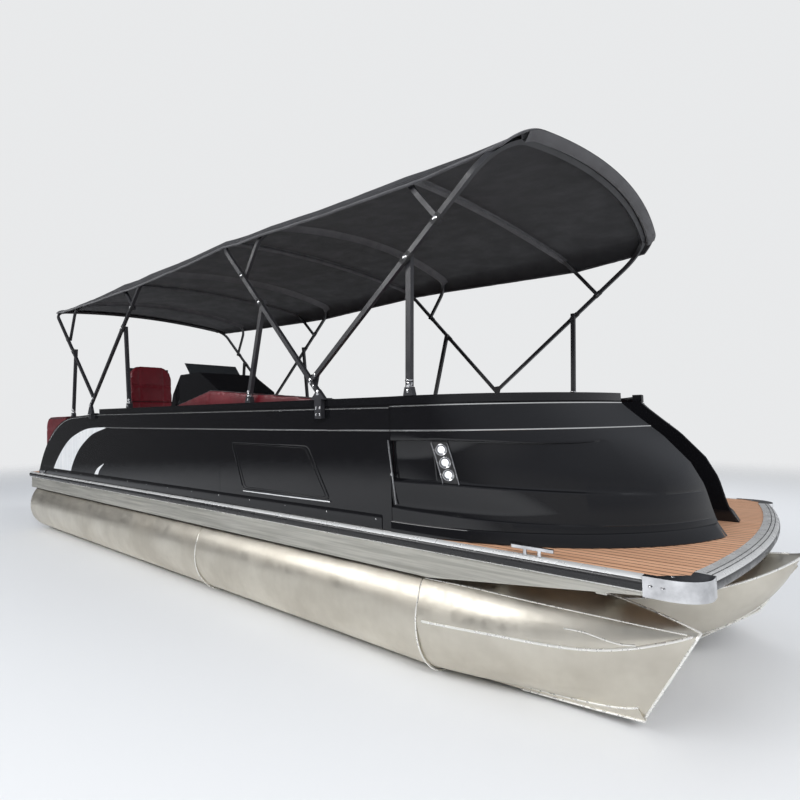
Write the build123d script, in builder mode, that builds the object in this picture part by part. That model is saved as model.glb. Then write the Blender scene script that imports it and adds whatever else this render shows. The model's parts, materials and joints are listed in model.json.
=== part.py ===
from build123d import *
import os
from math import asin, atan2, cos, degrees, radians, sin, sqrt

os.makedirs("parts", exist_ok=True)

# Pontoon boat, in millimetres. +X is forward, +Y is port, +Z is up, and the floor is at Z 0.
# Distances along the boat are measured from the aft edge of the deck.

# Tubes
tube_radius = 325
tube_inset = 329
tube_aft = 40
centre_tube_aft = 300
keel_height = 15
keel_width = 24
keel_start = 350
nose_tuck = 1
weld_band_width = 12
weld_band_height = 3
weld_ring_stations = (4015, 6092)
centre_ring = 6300
saddle_width = 120

# Deck
beam = 2590
straight_side = 7127
corner_length = 204
corner_width = 179
corner_radius = 130
corner_cut = 90
bow_crown = 96
nose_tip = 7520
cross_member_height = 81
cross_member_width = 40
cross_member_pitch = 480
first_cross_member = 250
deck_thickness = 25
planking_thickness = 4
rail_height = 72
rail_flat = 2
bow_rail_flat = 36
rail_lip = 4
casting_overhang = 8
channel_thickness = 6
channel_drop = 200
channel_taper_start = 6160

# Side walls, bow shells and gunwale
wall_inset = 45
wall_thickness = 30
wall_height_aft = 742
wall_height_forward = 705
wall_foot = 240
wall_curve = ((620, 445), (1368, 715))
wall_level_start = 2140
wall_seam = 4310
seam_gap = 3
shell_start = 5930
shell_centre = 6000
shell_thickness = 40
cap_height = 44
cap_width = 50
cap_overhang = 8
gate_passage = 444
passage_wall_aft = 6450

# Docking lights, in pockets in the bow shells
light_x = 6240
light_bottom = 290
light_height = 220
light_width = 80
light_pocket = 20
light_inset = 36
light_face = 12

# Gates
gate_thickness = 25
gate_gap_below = 30
gate_height = 665
hinge_pin_radius = 6
hinge_clearance = 0.05
knuckle_radius = 11
knuckle_height = 60
knuckle_inset = 70
hinge_tab = 8
hinge_stand_off = 22
leaf_gap = 34
bow_gate_x = 6620
side_gate_width = 680
side_gate_post = 30
stern_gate_x = 1000
stern_gate_width = 694
stern_gate_height = 560

# Sockets in the deck for a table's leg and for a stern light's pole
socket_x = 5290
socket_radius = 30.2
socket_depth = 76
socket_flange = 62
light_socket_x = 150
light_socket_inset = 280
light_socket_radius = 13
light_socket_depth = 60
light_socket_flange = 32
socket_wall = 4
socket_lip = 4

# Helm
helm_inset = 645
console_front = 3950
console_length = 850
console_width = 640
console_knee = 700
console_height = 900
console_toe = 60
dash_height = 1080
dash_setback = 200
dash_end = 330
console_nose_drop = 110
console_round = 22
screen_thickness = 6
screen_height = 110
screen_lean = 90
screen_setback = 520
screen_inset = 20
column_height = 800
column_radius = 34
column_length = 90
shaft_radius = 10
wheel_stand_off = 40
wheel_hub = 38
spoke_width = 26
spoke_thickness = 12
wheel_radius = 175
wheel_rim = 13
wheel_rake = 30
chair_x = 2385
seat_height = 580
seat_width = 520
seat_depth = 500
back_height = 820
back_thickness = 120
back_lean = 60
back_shell = 20
pedestal_radius = 45
pedestal_foot = 170
swivel_height = 24
swivel_plate = 150
slide_height = 20
slide_length = 300
slide_width = 30
slide_spacing = 260

# Seating
base_height = 300
base_wall = 18
cushion_thickness = 120
lounge_depth = 560
backrest_thickness = 120
soft_gap = 0.3
motion_gap = 6
cushion_corner = 35
bow_lounge_start = 4600
bow_lid_end = 5880
bow_lounge_end = 7000
bow_back_top = ((4600, 850), (5000, 815), (5450, 770), (5880, 765))
helm_bolster_top = ((3570, 790), (4100, 900), (4599, 852))
passage_clearance = 80
aft_start = 330
aft_end = 1480
stern_passage = 720
aft_back_start = 880
aft_back_end = 1020
aft_back_height = 740
aft_back_round = 150
port_start = 1750
port_gate_gap = 130
port_back_height = 770

# Canopy and its frame
arm_inset = 18
arm_tube = 28
brace_tube = 26
post_tube = 32
canopy_crown_radius = 6000
canopy_thickness = 6
canopy_clearance = 1.2
canopy_overhang_aft = 22
canopy_overhang_front = 45
bow_clearance = 2.5
leg_start = 14
brace_start = -14
butt_gap = 0.4
washer_thickness = 4
washer_radius = 15
gusset_half = 55
gusset_reach = 80
post_above = 22
foot_height = 46
foot_length = 60
foot_rim = 4
bracket_half = 60
bracket_base = 8
bracket_inner = 30
bracket_width = 56
pivot_height = 42
front_pivot = 5413
rear_pivot = 1975
front_joint = 872
rear_joint = 905
aft_crown = (805, 2150)
rear_crown = (3310, 2130)
middle_crown = (4280, 2145)
front_crown = (6760, 2060)
aft_brace_joint = 1640
aft_brace_crown = (1560, 2152)
rear_brace_joint = 1748
rear_brace_crown = (2560, 2142)
middle_brace_joint = 1690
middle_brace_crown = (4950, 2132)
front_brace_joint = 1650
front_brace_crown = (5950, 2092)
aft_hem = (2015, 190)
aft_brace_hem = (1985, 190)
rear_brace_hem = (1935, 195)
rear_hem = (1924, 200)
middle_hem = (1955, 210)
middle_brace_hem = (1942, 225)
front_brace_hem = (1880, 250)
front_hem = (1912, 275)
aft_post = (1400, 1480)
rear_post = (2801, 1570)
middle_post = (4683, 1460)
front_post = (6060, 1490)
front_bracket_drop = 120
rear_bracket_drop = 50

# Outboard motor, tilted clear of the floor
tilt_angle = 65
pod_length = 600
pod_half_width = 300
transom_height = 665
transom_foot = 210
pod_foot = 90
transom_lean = 95
tilt_aft = 25
tilt_above = 55
king_pin_back = 95
king_pin_radius = 20
swivel_radius = 42
shaft_depth = 890
plate_depth = 690
skeg_back = 430
skeg_depth = 1110
propeller_radius = 185
cowl_length = 480
cowl_width = 450
cowl_bottom = 70
cowl_top = 620
cowl_front = 45
cowl_wall = 5
cowl_corner = 90
block_length = 270
block_width = 260
block_height = 380
block_middle = -210
bracket_gap = 92
bracket_plate = 24
clamp_drop = 330
clamp_depth = 60
clamp_hook = 58
tilt_pin_radius = 16
tilt_tube_radius = 30
swivel_top = -20
swivel_bottom = -300
yoke_radius = 45
yoke_gap = 5
yoke_top = 40
yoke_depth = 40
leg_back = -330
leg_width = 96
leg_plate = 12
propeller_shaft_radius = 14
propeller_shaft_length = 60
gearcase_radius = 62
gearcase_nose = -80
gearcase_end = -430
hub_radius = 48
hub_start = 434
hub_length = 110
blade_half_width = 62
blade_thickness = 7
blade_pitch = 28

# Boarding ladder
ladder_inset = 495
ladder_width = 380
ladder_length = 820
ladder_tube = 28
ladder_hinge_height = 42
ladder_hinge_x = -46
hinge_bar_radius = 8
hinge_bracket = 18
hinge_bar_end = 24
tread_first = 250
tread_pitch = 250
tread_depth = 60
tread_height = 24

# Mooring cleats
cleat_stations = (420, 6700)
cleat_length = 190
cleat_width = 20
cleat_post = 9
cleat_height = 40
cleat_bar = 14

# Sizes that follow from these
tube_spacing = beam / 2 - tube_inset
tube_z = keel_height + tube_radius
tube_top = tube_z + tube_radius
deck_under = tube_top + cross_member_height
deck_top = deck_under + deck_thickness + planking_thickness
rail_depth = rail_height / 2 + rail_flat
bow_rail_depth = rail_height / 2 + bow_rail_flat
rail_y = beam / 2 - rail_depth
rail_top = deck_top + rail_lip
rail_bottom = rail_top - rail_height
wall_y = beam / 2 - wall_inset
wall_inner_y = wall_y - wall_thickness
half_passage = gate_passage / 2
corner_x = straight_side + corner_length
corner_y = beam / 2 - corner_width
bow_radius = (corner_y**2 + bow_crown**2) / (2 * bow_crown)
bow_centre = corner_x + bow_crown - bow_radius
bow_half_angle = degrees(asin(corner_y / bow_radius))
ring_x = weld_ring_stations[-1]

# The outboard's rearmost point is the corner of its skeg, and the boat's foremost is the centre nose.
motor_reach = (
    pod_length
    + tilt_aft
    + skeg_back * cos(radians(tilt_angle))
    + skeg_depth * sin(radians(tilt_angle))
)
deck_aft = motor_reach - (motor_reach + nose_tip) / 2

# Sketch planes: plan looks down, side looks to port, and station looks aft. All start at the deck's aft edge.
plan = Plane((deck_aft, 0, 0))
side = Plane(origin=(deck_aft, 0, 0), x_dir=(1, 0, 0), z_dir=(0, -1, 0))
station = Plane(origin=(deck_aft, 0, 0), x_dir=(0, 1, 0), z_dir=(1, 0, 0))


def save(piece, label):
    piece.label = label
    export_step(piece, f"parts/{label}.step")


def port_of(piece):
    return mirror(piece, about=Plane.XZ)


def faired(start, end, fullness):
    """A smooth curve that stands out to the right of its chord by fullness times the chord."""
    dx, dy = end[0] - start[0], end[1] - start[1]
    points = []
    for share in (0, 0.25, 0.5, 0.75, 1):
        rise = 4 * share * (1 - share) * fullness
        points.append((start[0] + share * dx + rise * dy, start[1] + share * dy - rise * dx))
    return Spline(*points)


# Tubes: a round body with weld rings, a keel and a nose that closes to a raked stem

quarter_circle = (1 - cos(radians(45))) / (2 * sin(radians(45)))

outer_nose = (
    # top ahead of ring and below tube top, keel ahead of ring and above tube bottom, half width,
    # chine's share of the height, fullness below and above the chine
    (0, nose_tuck, 0, nose_tuck, tube_radius - nose_tuck, 0.5, quarter_circle, quarter_circle),
    (458, 29, 408, 25, 280, 0.54, 0.17, 0.19),
    (888, 90, 748, 50, 155, 0.65, 0.10, 0.15),
    (1158, 165, 948, 70, 14, 0.93, 0.02, 0.10),
)
centre_reach = nose_tip - centre_ring
centre_nose = (
    (0, nose_tuck, 0, nose_tuck, tube_radius - nose_tuck, 0.5, quarter_circle, quarter_circle),
    (500, 12, 480, 25, 300, 0.55, 0.19, 0.17),
    (850, 14, 790, 160, 250, 0.62, 0.16, 0.12),
    (centre_reach - 140, -2, centre_reach - 180, 365, 170, 0.70, 0.15, 0.08),
    (centre_reach, -22, centre_reach - 20, 620, 50, 0.80, 0.10, 0.06),
)


def make_tube(y, aft, ring, nose, rings):
    with BuildPart() as tube:
        with BuildSketch(station.offset(aft)):
            with Locations((y, tube_z)):
                Circle(tube_radius)
        extrude(amount=ring - aft)
        with BuildSketch(station.offset(aft)):
            with Locations((y, tube_top)):
                Rectangle(saddle_width, tube_radius, align=(Align.CENTER, Align.MAX))
        extrude(amount=ring - aft)
        for x in rings:
            with BuildSketch(station.offset(x - weld_band_width)):
                with Locations((y, tube_z)):
                    Circle(tube_radius + weld_band_height)
                Rectangle(beam, 2 * tube_top, align=(Align.CENTER, Align.MIN), mode=Mode.INTERSECT)
            extrude(amount=weld_band_width)
        with BuildSketch(side.offset(-y - keel_width / 2)):
            with BuildLine():
                below = [(ring + row[2], row[3]) for row in nose]
                above = [(x - 30, z + 4 * keel_height) for x, z in reversed(below)]
                Polyline((keel_start, 0), *below, *above, (keel_start, tube_radius / 4), close=True)
            make_face()
        extrude(amount=keel_width)
    with BuildPart() as bow:
        for top_x, top_drop, keel_x, keel_rise, half_width, chine, low, high in nose:
            dx = top_x - keel_x
            dz = 2 * tube_radius - top_drop - keel_rise
            height = sqrt(dx**2 + dz**2)
            foot = (deck_aft + ring + keel_x, y, keel_height + keel_rise)
            with BuildSketch(Plane(origin=foot, x_dir=(0, 1, 0), z_dir=(dz, 0, -dx))):
                with BuildLine():
                    faired((0, 0), (half_width, chine * height), low)
                    faired((half_width, chine * height), (0, height), high)
                    faired((0, height), (-half_width, chine * height), high)
                    faired((-half_width, chine * height), (0, 0), low)
                make_face()
        loft()
    return tube.part + bow.part


save(make_tube(-tube_spacing, tube_aft, ring_x, outer_nose, weld_ring_stations), "tube_starboard")
save(make_tube(tube_spacing, tube_aft, ring_x, outer_nose, weld_ring_stations), "tube_port")
centre_rings = (weld_ring_stations[0], centre_ring)
save(make_tube(0, centre_tube_aft, centre_ring, centre_nose, centre_rings), "tube_centre")

# Cross members under the deck

member_span = 2 * rail_y
member_count = int((straight_side - first_cross_member) // cross_member_pitch) + 1
with BuildPart() as cross_members:
    for i in range(member_count):
        with BuildSketch(plan.offset(tube_top)):
            with Locations((first_cross_member + i * cross_member_pitch, 0)):
                Rectangle(cross_member_width, member_span)
        extrude(amount=cross_member_height)
save(cross_members.part, "cross_members")


# Deck: its outline stops behind the rails, with an arched front edge

def bow_point(radius, angle):
    """A point on a circle about the centre of the bow's arch, angle degrees to port."""
    return (bow_centre + radius * cos(radians(angle)), radius * sin(radians(angle)))


deck_bow_radius = bow_radius - bow_rail_depth
bow_outer_end = bow_point(bow_radius, -bow_half_angle)
bow_inner_end = bow_point(deck_bow_radius, -bow_half_angle)


def deck_outline():
    """The closed outline of the deck, inside its rails."""
    corner_start = (straight_side, -rail_y)
    end_x = bow_inner_end[0]
    Polyline(bow_inner_end, (end_x, -rail_y + corner_cut), (end_x - corner_cut, -rail_y), corner_start)
    Polyline(corner_start, (0, -rail_y), (0, rail_y), (straight_side, rail_y))
    Polyline(
        (straight_side, rail_y),
        (end_x - corner_cut, rail_y),
        (end_x, rail_y - corner_cut),
        (end_x, -bow_inner_end[1]),
    )
    ThreePointArc((end_x, -bow_inner_end[1]), bow_point(deck_bow_radius, 0), bow_inner_end)


light_socket_y = -(beam / 2 - light_socket_inset)
sockets = (
    # name, x, y, radius, depth, flange radius
    ("table_socket", socket_x, 0, socket_radius, socket_depth, socket_flange),
    (
        "stern_light_socket",
        light_socket_x,
        light_socket_y,
        light_socket_radius,
        light_socket_depth,
        light_socket_flange,
    ),
)
for label, level, thickness in (
    ("deck_panel", deck_under, deck_thickness),
    ("deck_planking", deck_under + deck_thickness, planking_thickness),
):
    with BuildPart() as layer:
        with BuildSketch(plan.offset(level)):
            with BuildLine():
                deck_outline()
            make_face()
            for name, x, y, radius, depth, flange in sockets:
                with Locations((x, y)):
                    Circle(radius + socket_wall + soft_gap, mode=Mode.SUBTRACT)
        extrude(amount=thickness)
    save(layer.part, label)

# Flanged sockets sunk in the deck, each open at its top

for name, x, y, radius, depth, flange in sockets:
    with BuildPart() as socket:
        with BuildSketch(plan.offset(deck_top)):
            with Locations((x, y)):
                Circle(flange)
        extrude(amount=socket_lip)
        with BuildSketch(plan.offset(deck_top)):
            with Locations((x, y)):
                Circle(radius + socket_wall)
        extrude(amount=-depth + socket_lip - socket_wall)
        with BuildSketch(plan.offset(deck_top + socket_lip)):
            with Locations((x, y)):
                Circle(radius)
        extrude(amount=-depth, mode=Mode.SUBTRACT)
    save(socket.part, name)


# Rails: half-round side rails, a wide arched bow rail, a stern rail and the bow corner castings

def rail_profile(inner, depth):
    """A rail's section, from inner outwards along +x, with a round outer side."""
    round_start = inner + depth - rail_height / 2
    Polyline((round_start, rail_top), (inner, rail_top), (inner, rail_bottom), (round_start, rail_bottom))
    ThreePointArc(
        (round_start, rail_bottom), (inner + depth, (rail_top + rail_bottom) / 2), (round_start, rail_top)
    )


with BuildPart() as rub_rail:
    with BuildSketch(station):
        with BuildLine():
            rail_profile(rail_y, rail_depth)
        make_face()
    extrude(amount=straight_side)
    mirror(about=Plane.XZ)
save(rub_rail.part, "rub_rails")

with BuildPart() as bow_rail:
    turn = radians(-bow_half_angle)
    axis_foot = (deck_aft + bow_centre, 0, 0)
    across = Plane(origin=axis_foot, x_dir=(cos(turn), sin(turn), 0), z_dir=(sin(turn), -cos(turn), 0))
    with BuildSketch(across):
        with BuildLine():
            rail_profile(deck_bow_radius, bow_rail_depth)
        make_face()
    revolve(axis=Axis(axis_foot, (0, 0, 1)), revolution_arc=2 * bow_half_angle)
save(bow_rail.part, "bow_rail")

with BuildPart() as stern_rail:
    with BuildSketch(side.offset(-rail_y)):
        with BuildLine():
            outer = -rail_depth
            flat = outer + rail_height / 2
            Polyline((flat, rail_bottom), (0, rail_bottom), (0, rail_top), (flat, rail_top))
            ThreePointArc((flat, rail_top), (outer, (rail_top + rail_bottom) / 2), (flat, rail_bottom))
        make_face()
    extrude(amount=2 * rail_y)
save(stern_rail.part, "stern_rail")

with BuildPart() as casting:
    with BuildSketch(plan.offset(rail_bottom - casting_overhang)):
        with BuildLine():
            round_start = (corner_x - corner_radius, -beam / 2)
            round_end = (corner_x, -beam / 2 + corner_radius)
            Line((straight_side, -beam / 2), round_start)
            RadiusArc(round_start, round_end, -corner_radius)
            Polyline(
                round_end,
                bow_outer_end,
                bow_inner_end,
                (bow_inner_end[0], -rail_y + corner_cut),
                (bow_inner_end[0] - corner_cut, -rail_y),
                (straight_side, -rail_y),
                (straight_side, -beam / 2),
            )
        make_face()
    extrude(amount=rail_height + casting_overhang)
with BuildPart() as castings:
    add(casting.part)
    mirror(about=Plane.XZ)
save(castings.part, "bow_corner_castings")

with BuildPart() as channels:
    with BuildSketch(side.offset(member_span / 2)):
        with BuildLine():
            Polyline(
                (0, rail_bottom),
                (0, deck_top - channel_drop),
                (channel_taper_start, deck_top - channel_drop),
                (straight_side, rail_bottom - 12),
                (straight_side, rail_bottom),
                close=True,
            )
        make_face()
    extrude(amount=channel_thickness)
    mirror(about=Plane.XZ)
save(channels.part, "side_channels")


# Side walls, each a panel that curves down to the deck at its aft end

def wall_top(x):
    """Height of the wall's top edge above the floor, where it runs straight."""
    share = (min(x, shell_start) - wall_level_start) / (shell_start - wall_level_start)
    return deck_top + wall_height_aft + share * (wall_height_forward - wall_height_aft)


def wall_panel(start, end):
    with BuildPart() as panel:
        with BuildSketch(side.offset(wall_inner_y)):
            with BuildLine():
                knee, shoulder = [(x, deck_top + z) for x, z in wall_curve]
                ThreePointArc((wall_foot, deck_top), knee, shoulder)
                Polyline(
                    shoulder,
                    (wall_level_start, wall_top(wall_level_start)),
                    (shell_start - seam_gap, wall_top(shell_start - seam_gap)),
                    (shell_start - seam_gap, deck_top),
                    (wall_foot, deck_top),
                )
            make_face()
            with Locations((start, 0)):
                Rectangle(end - start, 2 * dash_height + deck_top, align=Align.MIN, mode=Mode.INTERSECT)
        extrude(amount=wall_thickness)
    return panel.part


side_gate_front = wall_seam - side_gate_post
side_gate_aft = side_gate_front - side_gate_width
with BuildPart() as starboard_walls:
    add(wall_panel(wall_foot, wall_seam - seam_gap))
    add(wall_panel(wall_seam, shell_start))
save(starboard_walls.part, "side_walls_starboard")
with BuildPart() as port_walls:
    add(port_of(wall_panel(wall_foot, side_gate_aft)))
    add(port_of(wall_panel(side_gate_front, shell_start)))
save(port_walls.part, "side_walls_port")

# Bow shells: the wall turns in and leans back over the bow, in ovals that shorten with height

shell_sections = (
    # height above deck, reach ahead of the shell's centre
    (0, 1278),
    (200, 1205),
    (390, 1120),
    (560, 960),
    (wall_height_forward, 808),
)


def oval_arc(reach, half_width, passage):
    """A quarter oval from beside the wall round to the gate passage, and its end."""
    end = degrees(asin(-passage / half_width))
    EllipticalCenterArc((shell_centre, 0), reach, half_width, -90, arc_size=90 + end)
    return (shell_centre + reach * cos(radians(end)), -passage)


def shell_body(inset, aft, lower):
    with BuildPart() as body:
        for i, (height, reach) in enumerate(shell_sections):
            level = height - lower if i == 0 else height
            level = height + lower if i == len(shell_sections) - 1 else level
            with BuildSketch(plan.offset(deck_top + level)):
                with BuildLine():
                    edge = wall_y - inset
                    passage = half_passage + inset
                    end = oval_arc(reach - inset, edge, passage)
                    Polyline(end, (aft, -passage), (aft, -edge), (shell_centre, -edge))
                make_face()
        loft()
    return body.part


with BuildPart() as bow_wall:
    add(shell_body(0, shell_start, 0))
    add(shell_body(shell_thickness, shell_start - 10, 5), mode=Mode.SUBTRACT)
    with BuildSketch(plan.offset(deck_top)):
        with Locations((shell_start, -half_passage)):
            Rectangle(
                passage_wall_aft - shell_start, 2 * shell_thickness, align=(Align.MIN, Align.CENTER)
            )
    extrude(amount=wall_height_forward, mode=Mode.SUBTRACT)

# A pocket in each shell for the docking lights

light_y = -(wall_y - light_inset)
with BuildPart() as bow_shell:
    add(bow_wall.part)
    with BuildSketch(side.offset(-light_y - light_pocket)):
        with Locations((light_x, deck_top + light_bottom)):
            Rectangle(light_width, light_height, align=(Align.CENTER, Align.MIN))
    extrude(amount=2 * light_pocket, mode=Mode.SUBTRACT)
    mirror(about=Plane.XZ)
save(bow_shell.part, "bow_shells")

with BuildPart() as docking_lights:
    with BuildSketch(side.offset(-light_y - light_pocket)):
        with Locations((light_x, deck_top + light_bottom)):
            Rectangle(light_width, light_height, align=(Align.CENTER, Align.MIN))
    extrude(amount=light_face)
    mirror(about=Plane.XZ)
save(docking_lights.part, "docking_lights")


# Gunwale cap along each wall and round the top of each bow shell

def cap_piece(start, end):
    with BuildPart() as cap:
        with BuildSketch(side.offset(wall_y + cap_overhang - cap_width)):
            with BuildLine():
                Polyline(
                    (start, wall_top(start)),
                    (end, wall_top(end)),
                    (end, wall_top(end) + cap_height),
                    (start, wall_top(start) + cap_height),
                    close=True,
                )
            make_face()
        extrude(amount=cap_width)
    return cap.part


with BuildPart() as bow_cap:
    with BuildSketch(plan.offset(deck_top + wall_height_forward)):
        top_reach = shell_sections[-1][1]
        with BuildLine():
            outer_edge = wall_y + cap_overhang
            outer_end = oval_arc(top_reach + cap_overhang, outer_edge, half_passage)
            Polyline(
                outer_end,
                (shell_start, -half_passage),
                (shell_start, -outer_edge),
                (shell_centre, -outer_edge),
            )
        make_face()
        with BuildLine():
            inset = cap_overhang - cap_width
            inner_edge = outer_edge - cap_width
            inner_end = oval_arc(top_reach + inset, inner_edge, half_passage)
            Polyline(
                inner_end,
                (shell_start, -half_passage),
                (shell_start, -inner_edge),
                (shell_centre, -inner_edge),
            )
        make_face(mode=Mode.SUBTRACT)
    extrude(amount=cap_height)

with BuildPart() as caps:
    add(cap_piece(wall_level_start, shell_start))
    add(bow_cap.part)
    add(port_of(cap_piece(wall_level_start, side_gate_aft)))
    add(port_of(cap_piece(side_gate_front, shell_start)))
    add(port_of(bow_cap.part))
save(caps.part, "gunwale_caps")

# Gates: each a leaf on two knuckles, and the pins that carry it

gate_bottom = deck_top + gate_gap_below
side_gate_y = wall_y - wall_thickness / 2
bow_leaf = gate_passage - leaf_gap
side_leaf = side_gate_width - leaf_gap
stern_leaf = stern_gate_width - leaf_gap
gates = (
    # name, hinge x, hinge y, direction of the leaf, width, height, direction of the post that carries it
    ("bow_gate", bow_gate_x, -half_passage + hinge_stand_off, (0, 1), bow_leaf, gate_height, (0, -1)),
    ("side_gate", side_gate_front - hinge_stand_off, side_gate_y, (-1, 0), side_leaf, gate_height, (1, 0)),
    (
        "stern_gate",
        stern_gate_x,
        wall_inner_y - hinge_stand_off,
        (0, -1),
        stern_leaf,
        stern_gate_height,
        (0, 1),
    ),
)


def gate_plane(x, y, direction):
    """A plane at the hinge whose x runs along the leaf and whose y is up."""
    along = (direction[0], direction[1], 0)
    return Plane(origin=(deck_aft + x, y, gate_bottom), x_dir=along, z_dir=(direction[1], -direction[0], 0))


def knuckle_levels(height):
    return (knuckle_inset, height - knuckle_inset - knuckle_height)


pin_pieces = []
for name, x, y, direction, width, height, post in gates:
    with BuildPart() as gate:
        with BuildSketch(gate_plane(x, y, direction).offset(-gate_thickness / 2)):
            with Locations((knuckle_radius + 3, 0)):
                Rectangle(width - knuckle_radius - 3, height, align=Align.MIN)
        extrude(amount=gate_thickness)
        for level in knuckle_levels(height):
            with BuildSketch(plan.offset(gate_bottom + level)):
                with Locations((x, y)):
                    Circle(knuckle_radius)
                web = 2 * knuckle_radius
                with Locations((x + direction[0] * web / 2, y + direction[1] * web / 2)):
                    Rectangle(web if direction[0] else 8, web if direction[1] else 8)
            extrude(amount=knuckle_height)
            with BuildSketch(plan.offset(gate_bottom + level)):
                with Locations((x, y)):
                    Circle(hinge_pin_radius + hinge_clearance)
            extrude(amount=knuckle_height, mode=Mode.SUBTRACT)
    save(gate.part, name)
    for level in knuckle_levels(height):
        with BuildPart() as pin:
            with BuildSketch(plan.offset(gate_bottom + level - hinge_tab - 1)):
                with Locations((x, y)):
                    Circle(hinge_pin_radius)
            extrude(amount=knuckle_height + 2 * hinge_tab + 2)
            for tab_level in (level - hinge_tab - 1, level + knuckle_height + 1):
                with BuildSketch(plan.offset(gate_bottom + tab_level)):
                    with Locations((x + post[0] * 11, y + post[1] * 11)):
                        Rectangle(22 if post[0] else 16, 22 if post[1] else 16)
                extrude(amount=hinge_tab)
        pin_pieces.append(pin.part)
with BuildPart() as gate_pins:
    for piece in pin_pieces:
        add(piece)
save(gate_pins.part, "gate_hinge_pins")

# Helm console with its steering column, windscreen and wheel

helm_y = -(beam / 2 - helm_inset)
console_aft = console_front - console_length
wheel_axis = (-cos(radians(wheel_rake)), 0, sin(radians(wheel_rake)))
column = Plane(
    origin=(deck_aft + console_aft + 20, helm_y, deck_top + column_height), x_dir=(0, 1, 0), z_dir=wheel_axis
)
with BuildPart() as console:
    with BuildSketch(side.offset(-helm_y - console_width / 2)):
        with BuildLine():
            Polyline(
                (console_aft + console_toe, deck_top),
                (console_aft, deck_top + console_knee),
                (console_aft + console_toe, deck_top + console_height),
                (console_aft + dash_setback, deck_top + dash_height),
                (console_front - dash_end, deck_top + dash_height),
                (console_front - console_toe / 2, deck_top + console_height),
                (console_front, deck_top + console_height - console_nose_drop),
                (console_front, deck_top),
                close=True,
            )
        make_face()
    extrude(amount=console_width)
    fillet(console.edges().filter_by(Axis.Y), console_round)
    with BuildSketch(column.offset(-wheel_stand_off)):
        Circle(column_radius)
    extrude(amount=wheel_stand_off + column_length)
    with BuildSketch(column.offset(column_length)):
        Circle(shaft_radius + hinge_clearance)
    extrude(amount=-60, mode=Mode.SUBTRACT)
save(console.part, "helm_console")

with BuildPart() as windscreen:
    with BuildSketch(side.offset(-helm_y - console_width / 2 + screen_inset)):
        with BuildLine():
            foot_x, foot_z = console_front - screen_setback, deck_top + dash_height
            Polyline(
                (foot_x, foot_z),
                (foot_x - screen_lean, foot_z + screen_height),
                (foot_x - screen_lean + screen_thickness, foot_z + screen_height),
                (foot_x + screen_thickness, foot_z),
                close=True,
            )
        make_face()
    extrude(amount=console_width - 2 * screen_inset)
save(windscreen.part, "helm_windscreen")

with BuildPart() as wheel:
    wheel_plane = column.offset(column_length + wheel_stand_off)
    with BuildSketch(Plane(origin=wheel_plane.origin, x_dir=wheel_plane.x_dir, z_dir=wheel_plane.y_dir)):
        with Locations((wheel_radius, 0)):
            Circle(wheel_rim)
    revolve(axis=Axis(wheel_plane.origin, wheel_axis))
    with BuildSketch(wheel_plane.offset(-spoke_thickness / 2)):
        Circle(wheel_hub)
        with PolarLocations(0, 3, start_angle=90):
            with Locations((wheel_radius / 2, 0)):
                Rectangle(wheel_radius, spoke_width)
    extrude(amount=spoke_thickness)
    with BuildSketch(column.offset(column_length - 50)):
        Circle(shaft_radius)
    extrude(amount=50 + wheel_stand_off)
    with BuildSketch(column.offset(column_length + motion_gap)):
        Circle(wheel_hub - spoke_thickness)
    extrude(amount=wheel_stand_off - motion_gap)
save(wheel.part, "steering_wheel")

# Helm chair: a pedestal, a swivel plate, a sliding seat pan and its cushions

chair = Plane((deck_aft + chair_x, helm_y, deck_top))
pedestal_height = seat_height - cushion_thickness - slide_height - 2 * swivel_height
with BuildPart() as pedestal:
    with BuildSketch(chair):
        Circle(pedestal_foot)
    extrude(amount=spoke_thickness)
    with BuildSketch(chair):
        Circle(pedestal_radius)
    extrude(amount=pedestal_height)
save(pedestal.part, "helm_pedestal")

with BuildPart() as swivel:
    with BuildSketch(chair.offset(pedestal_height + soft_gap)):
        Circle(swivel_plate)
    extrude(amount=swivel_height)
    with BuildSketch(chair.offset(pedestal_height + soft_gap + swivel_height)):
        with GridLocations(0, slide_spacing, 1, 2):
            Rectangle(slide_length, slide_width)
    extrude(amount=slide_height)
save(swivel.part, "helm_swivel")

pan_level = pedestal_height + 2 * soft_gap + swivel_height + slide_height
back_slope = back_lean / back_height
chair_at = (deck_aft + chair_x, helm_y + seat_width / 2, deck_top)
chair_side = Plane(origin=chair_at, x_dir=(1, 0, 0), z_dir=(0, -1, 0))


def leaning_panel(ahead, thickness, low, high):
    """A back panel that starts ahead of the pan's aft edge and leans aft between two heights."""
    with BuildPart() as panel:
        with BuildSketch(chair_side):
            with BuildLine():
                foot_x = -seat_depth / 2 + ahead - back_slope * low
                head_x = -seat_depth / 2 + ahead - back_slope * high
                Polyline(
                    (foot_x, pan_level + low),
                    (foot_x + thickness, pan_level + low),
                    (head_x + thickness, pan_level + high),
                    (head_x, pan_level + high),
                    close=True,
                )
            make_face()
        extrude(amount=seat_width)
    return panel.part


with BuildPart() as pan:
    with BuildSketch(chair.offset(pan_level)):
        Rectangle(seat_depth, seat_width)
    extrude(amount=swivel_height - 2 * soft_gap)
    add(leaning_panel(-back_shell, back_shell, 0, back_height))
save(pan.part, "helm_chair_frame")

with BuildPart() as chair_cushions:
    with BuildSketch(chair.offset(pan_level + swivel_height)):
        with Locations((back_thickness / 2 + 5, 0)):
            RectangleRounded(seat_depth - back_thickness + 40, seat_width, cushion_corner)
    extrude(amount=cushion_thickness)
    add(leaning_panel(soft_gap, back_thickness - cushion_corner, swivel_height, back_height + 30))
save(chair_cushions.part, "helm_chair_cushions")


# Lounges: open lockers, seat cushions that lift as their lids, and fixed backrests

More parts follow.
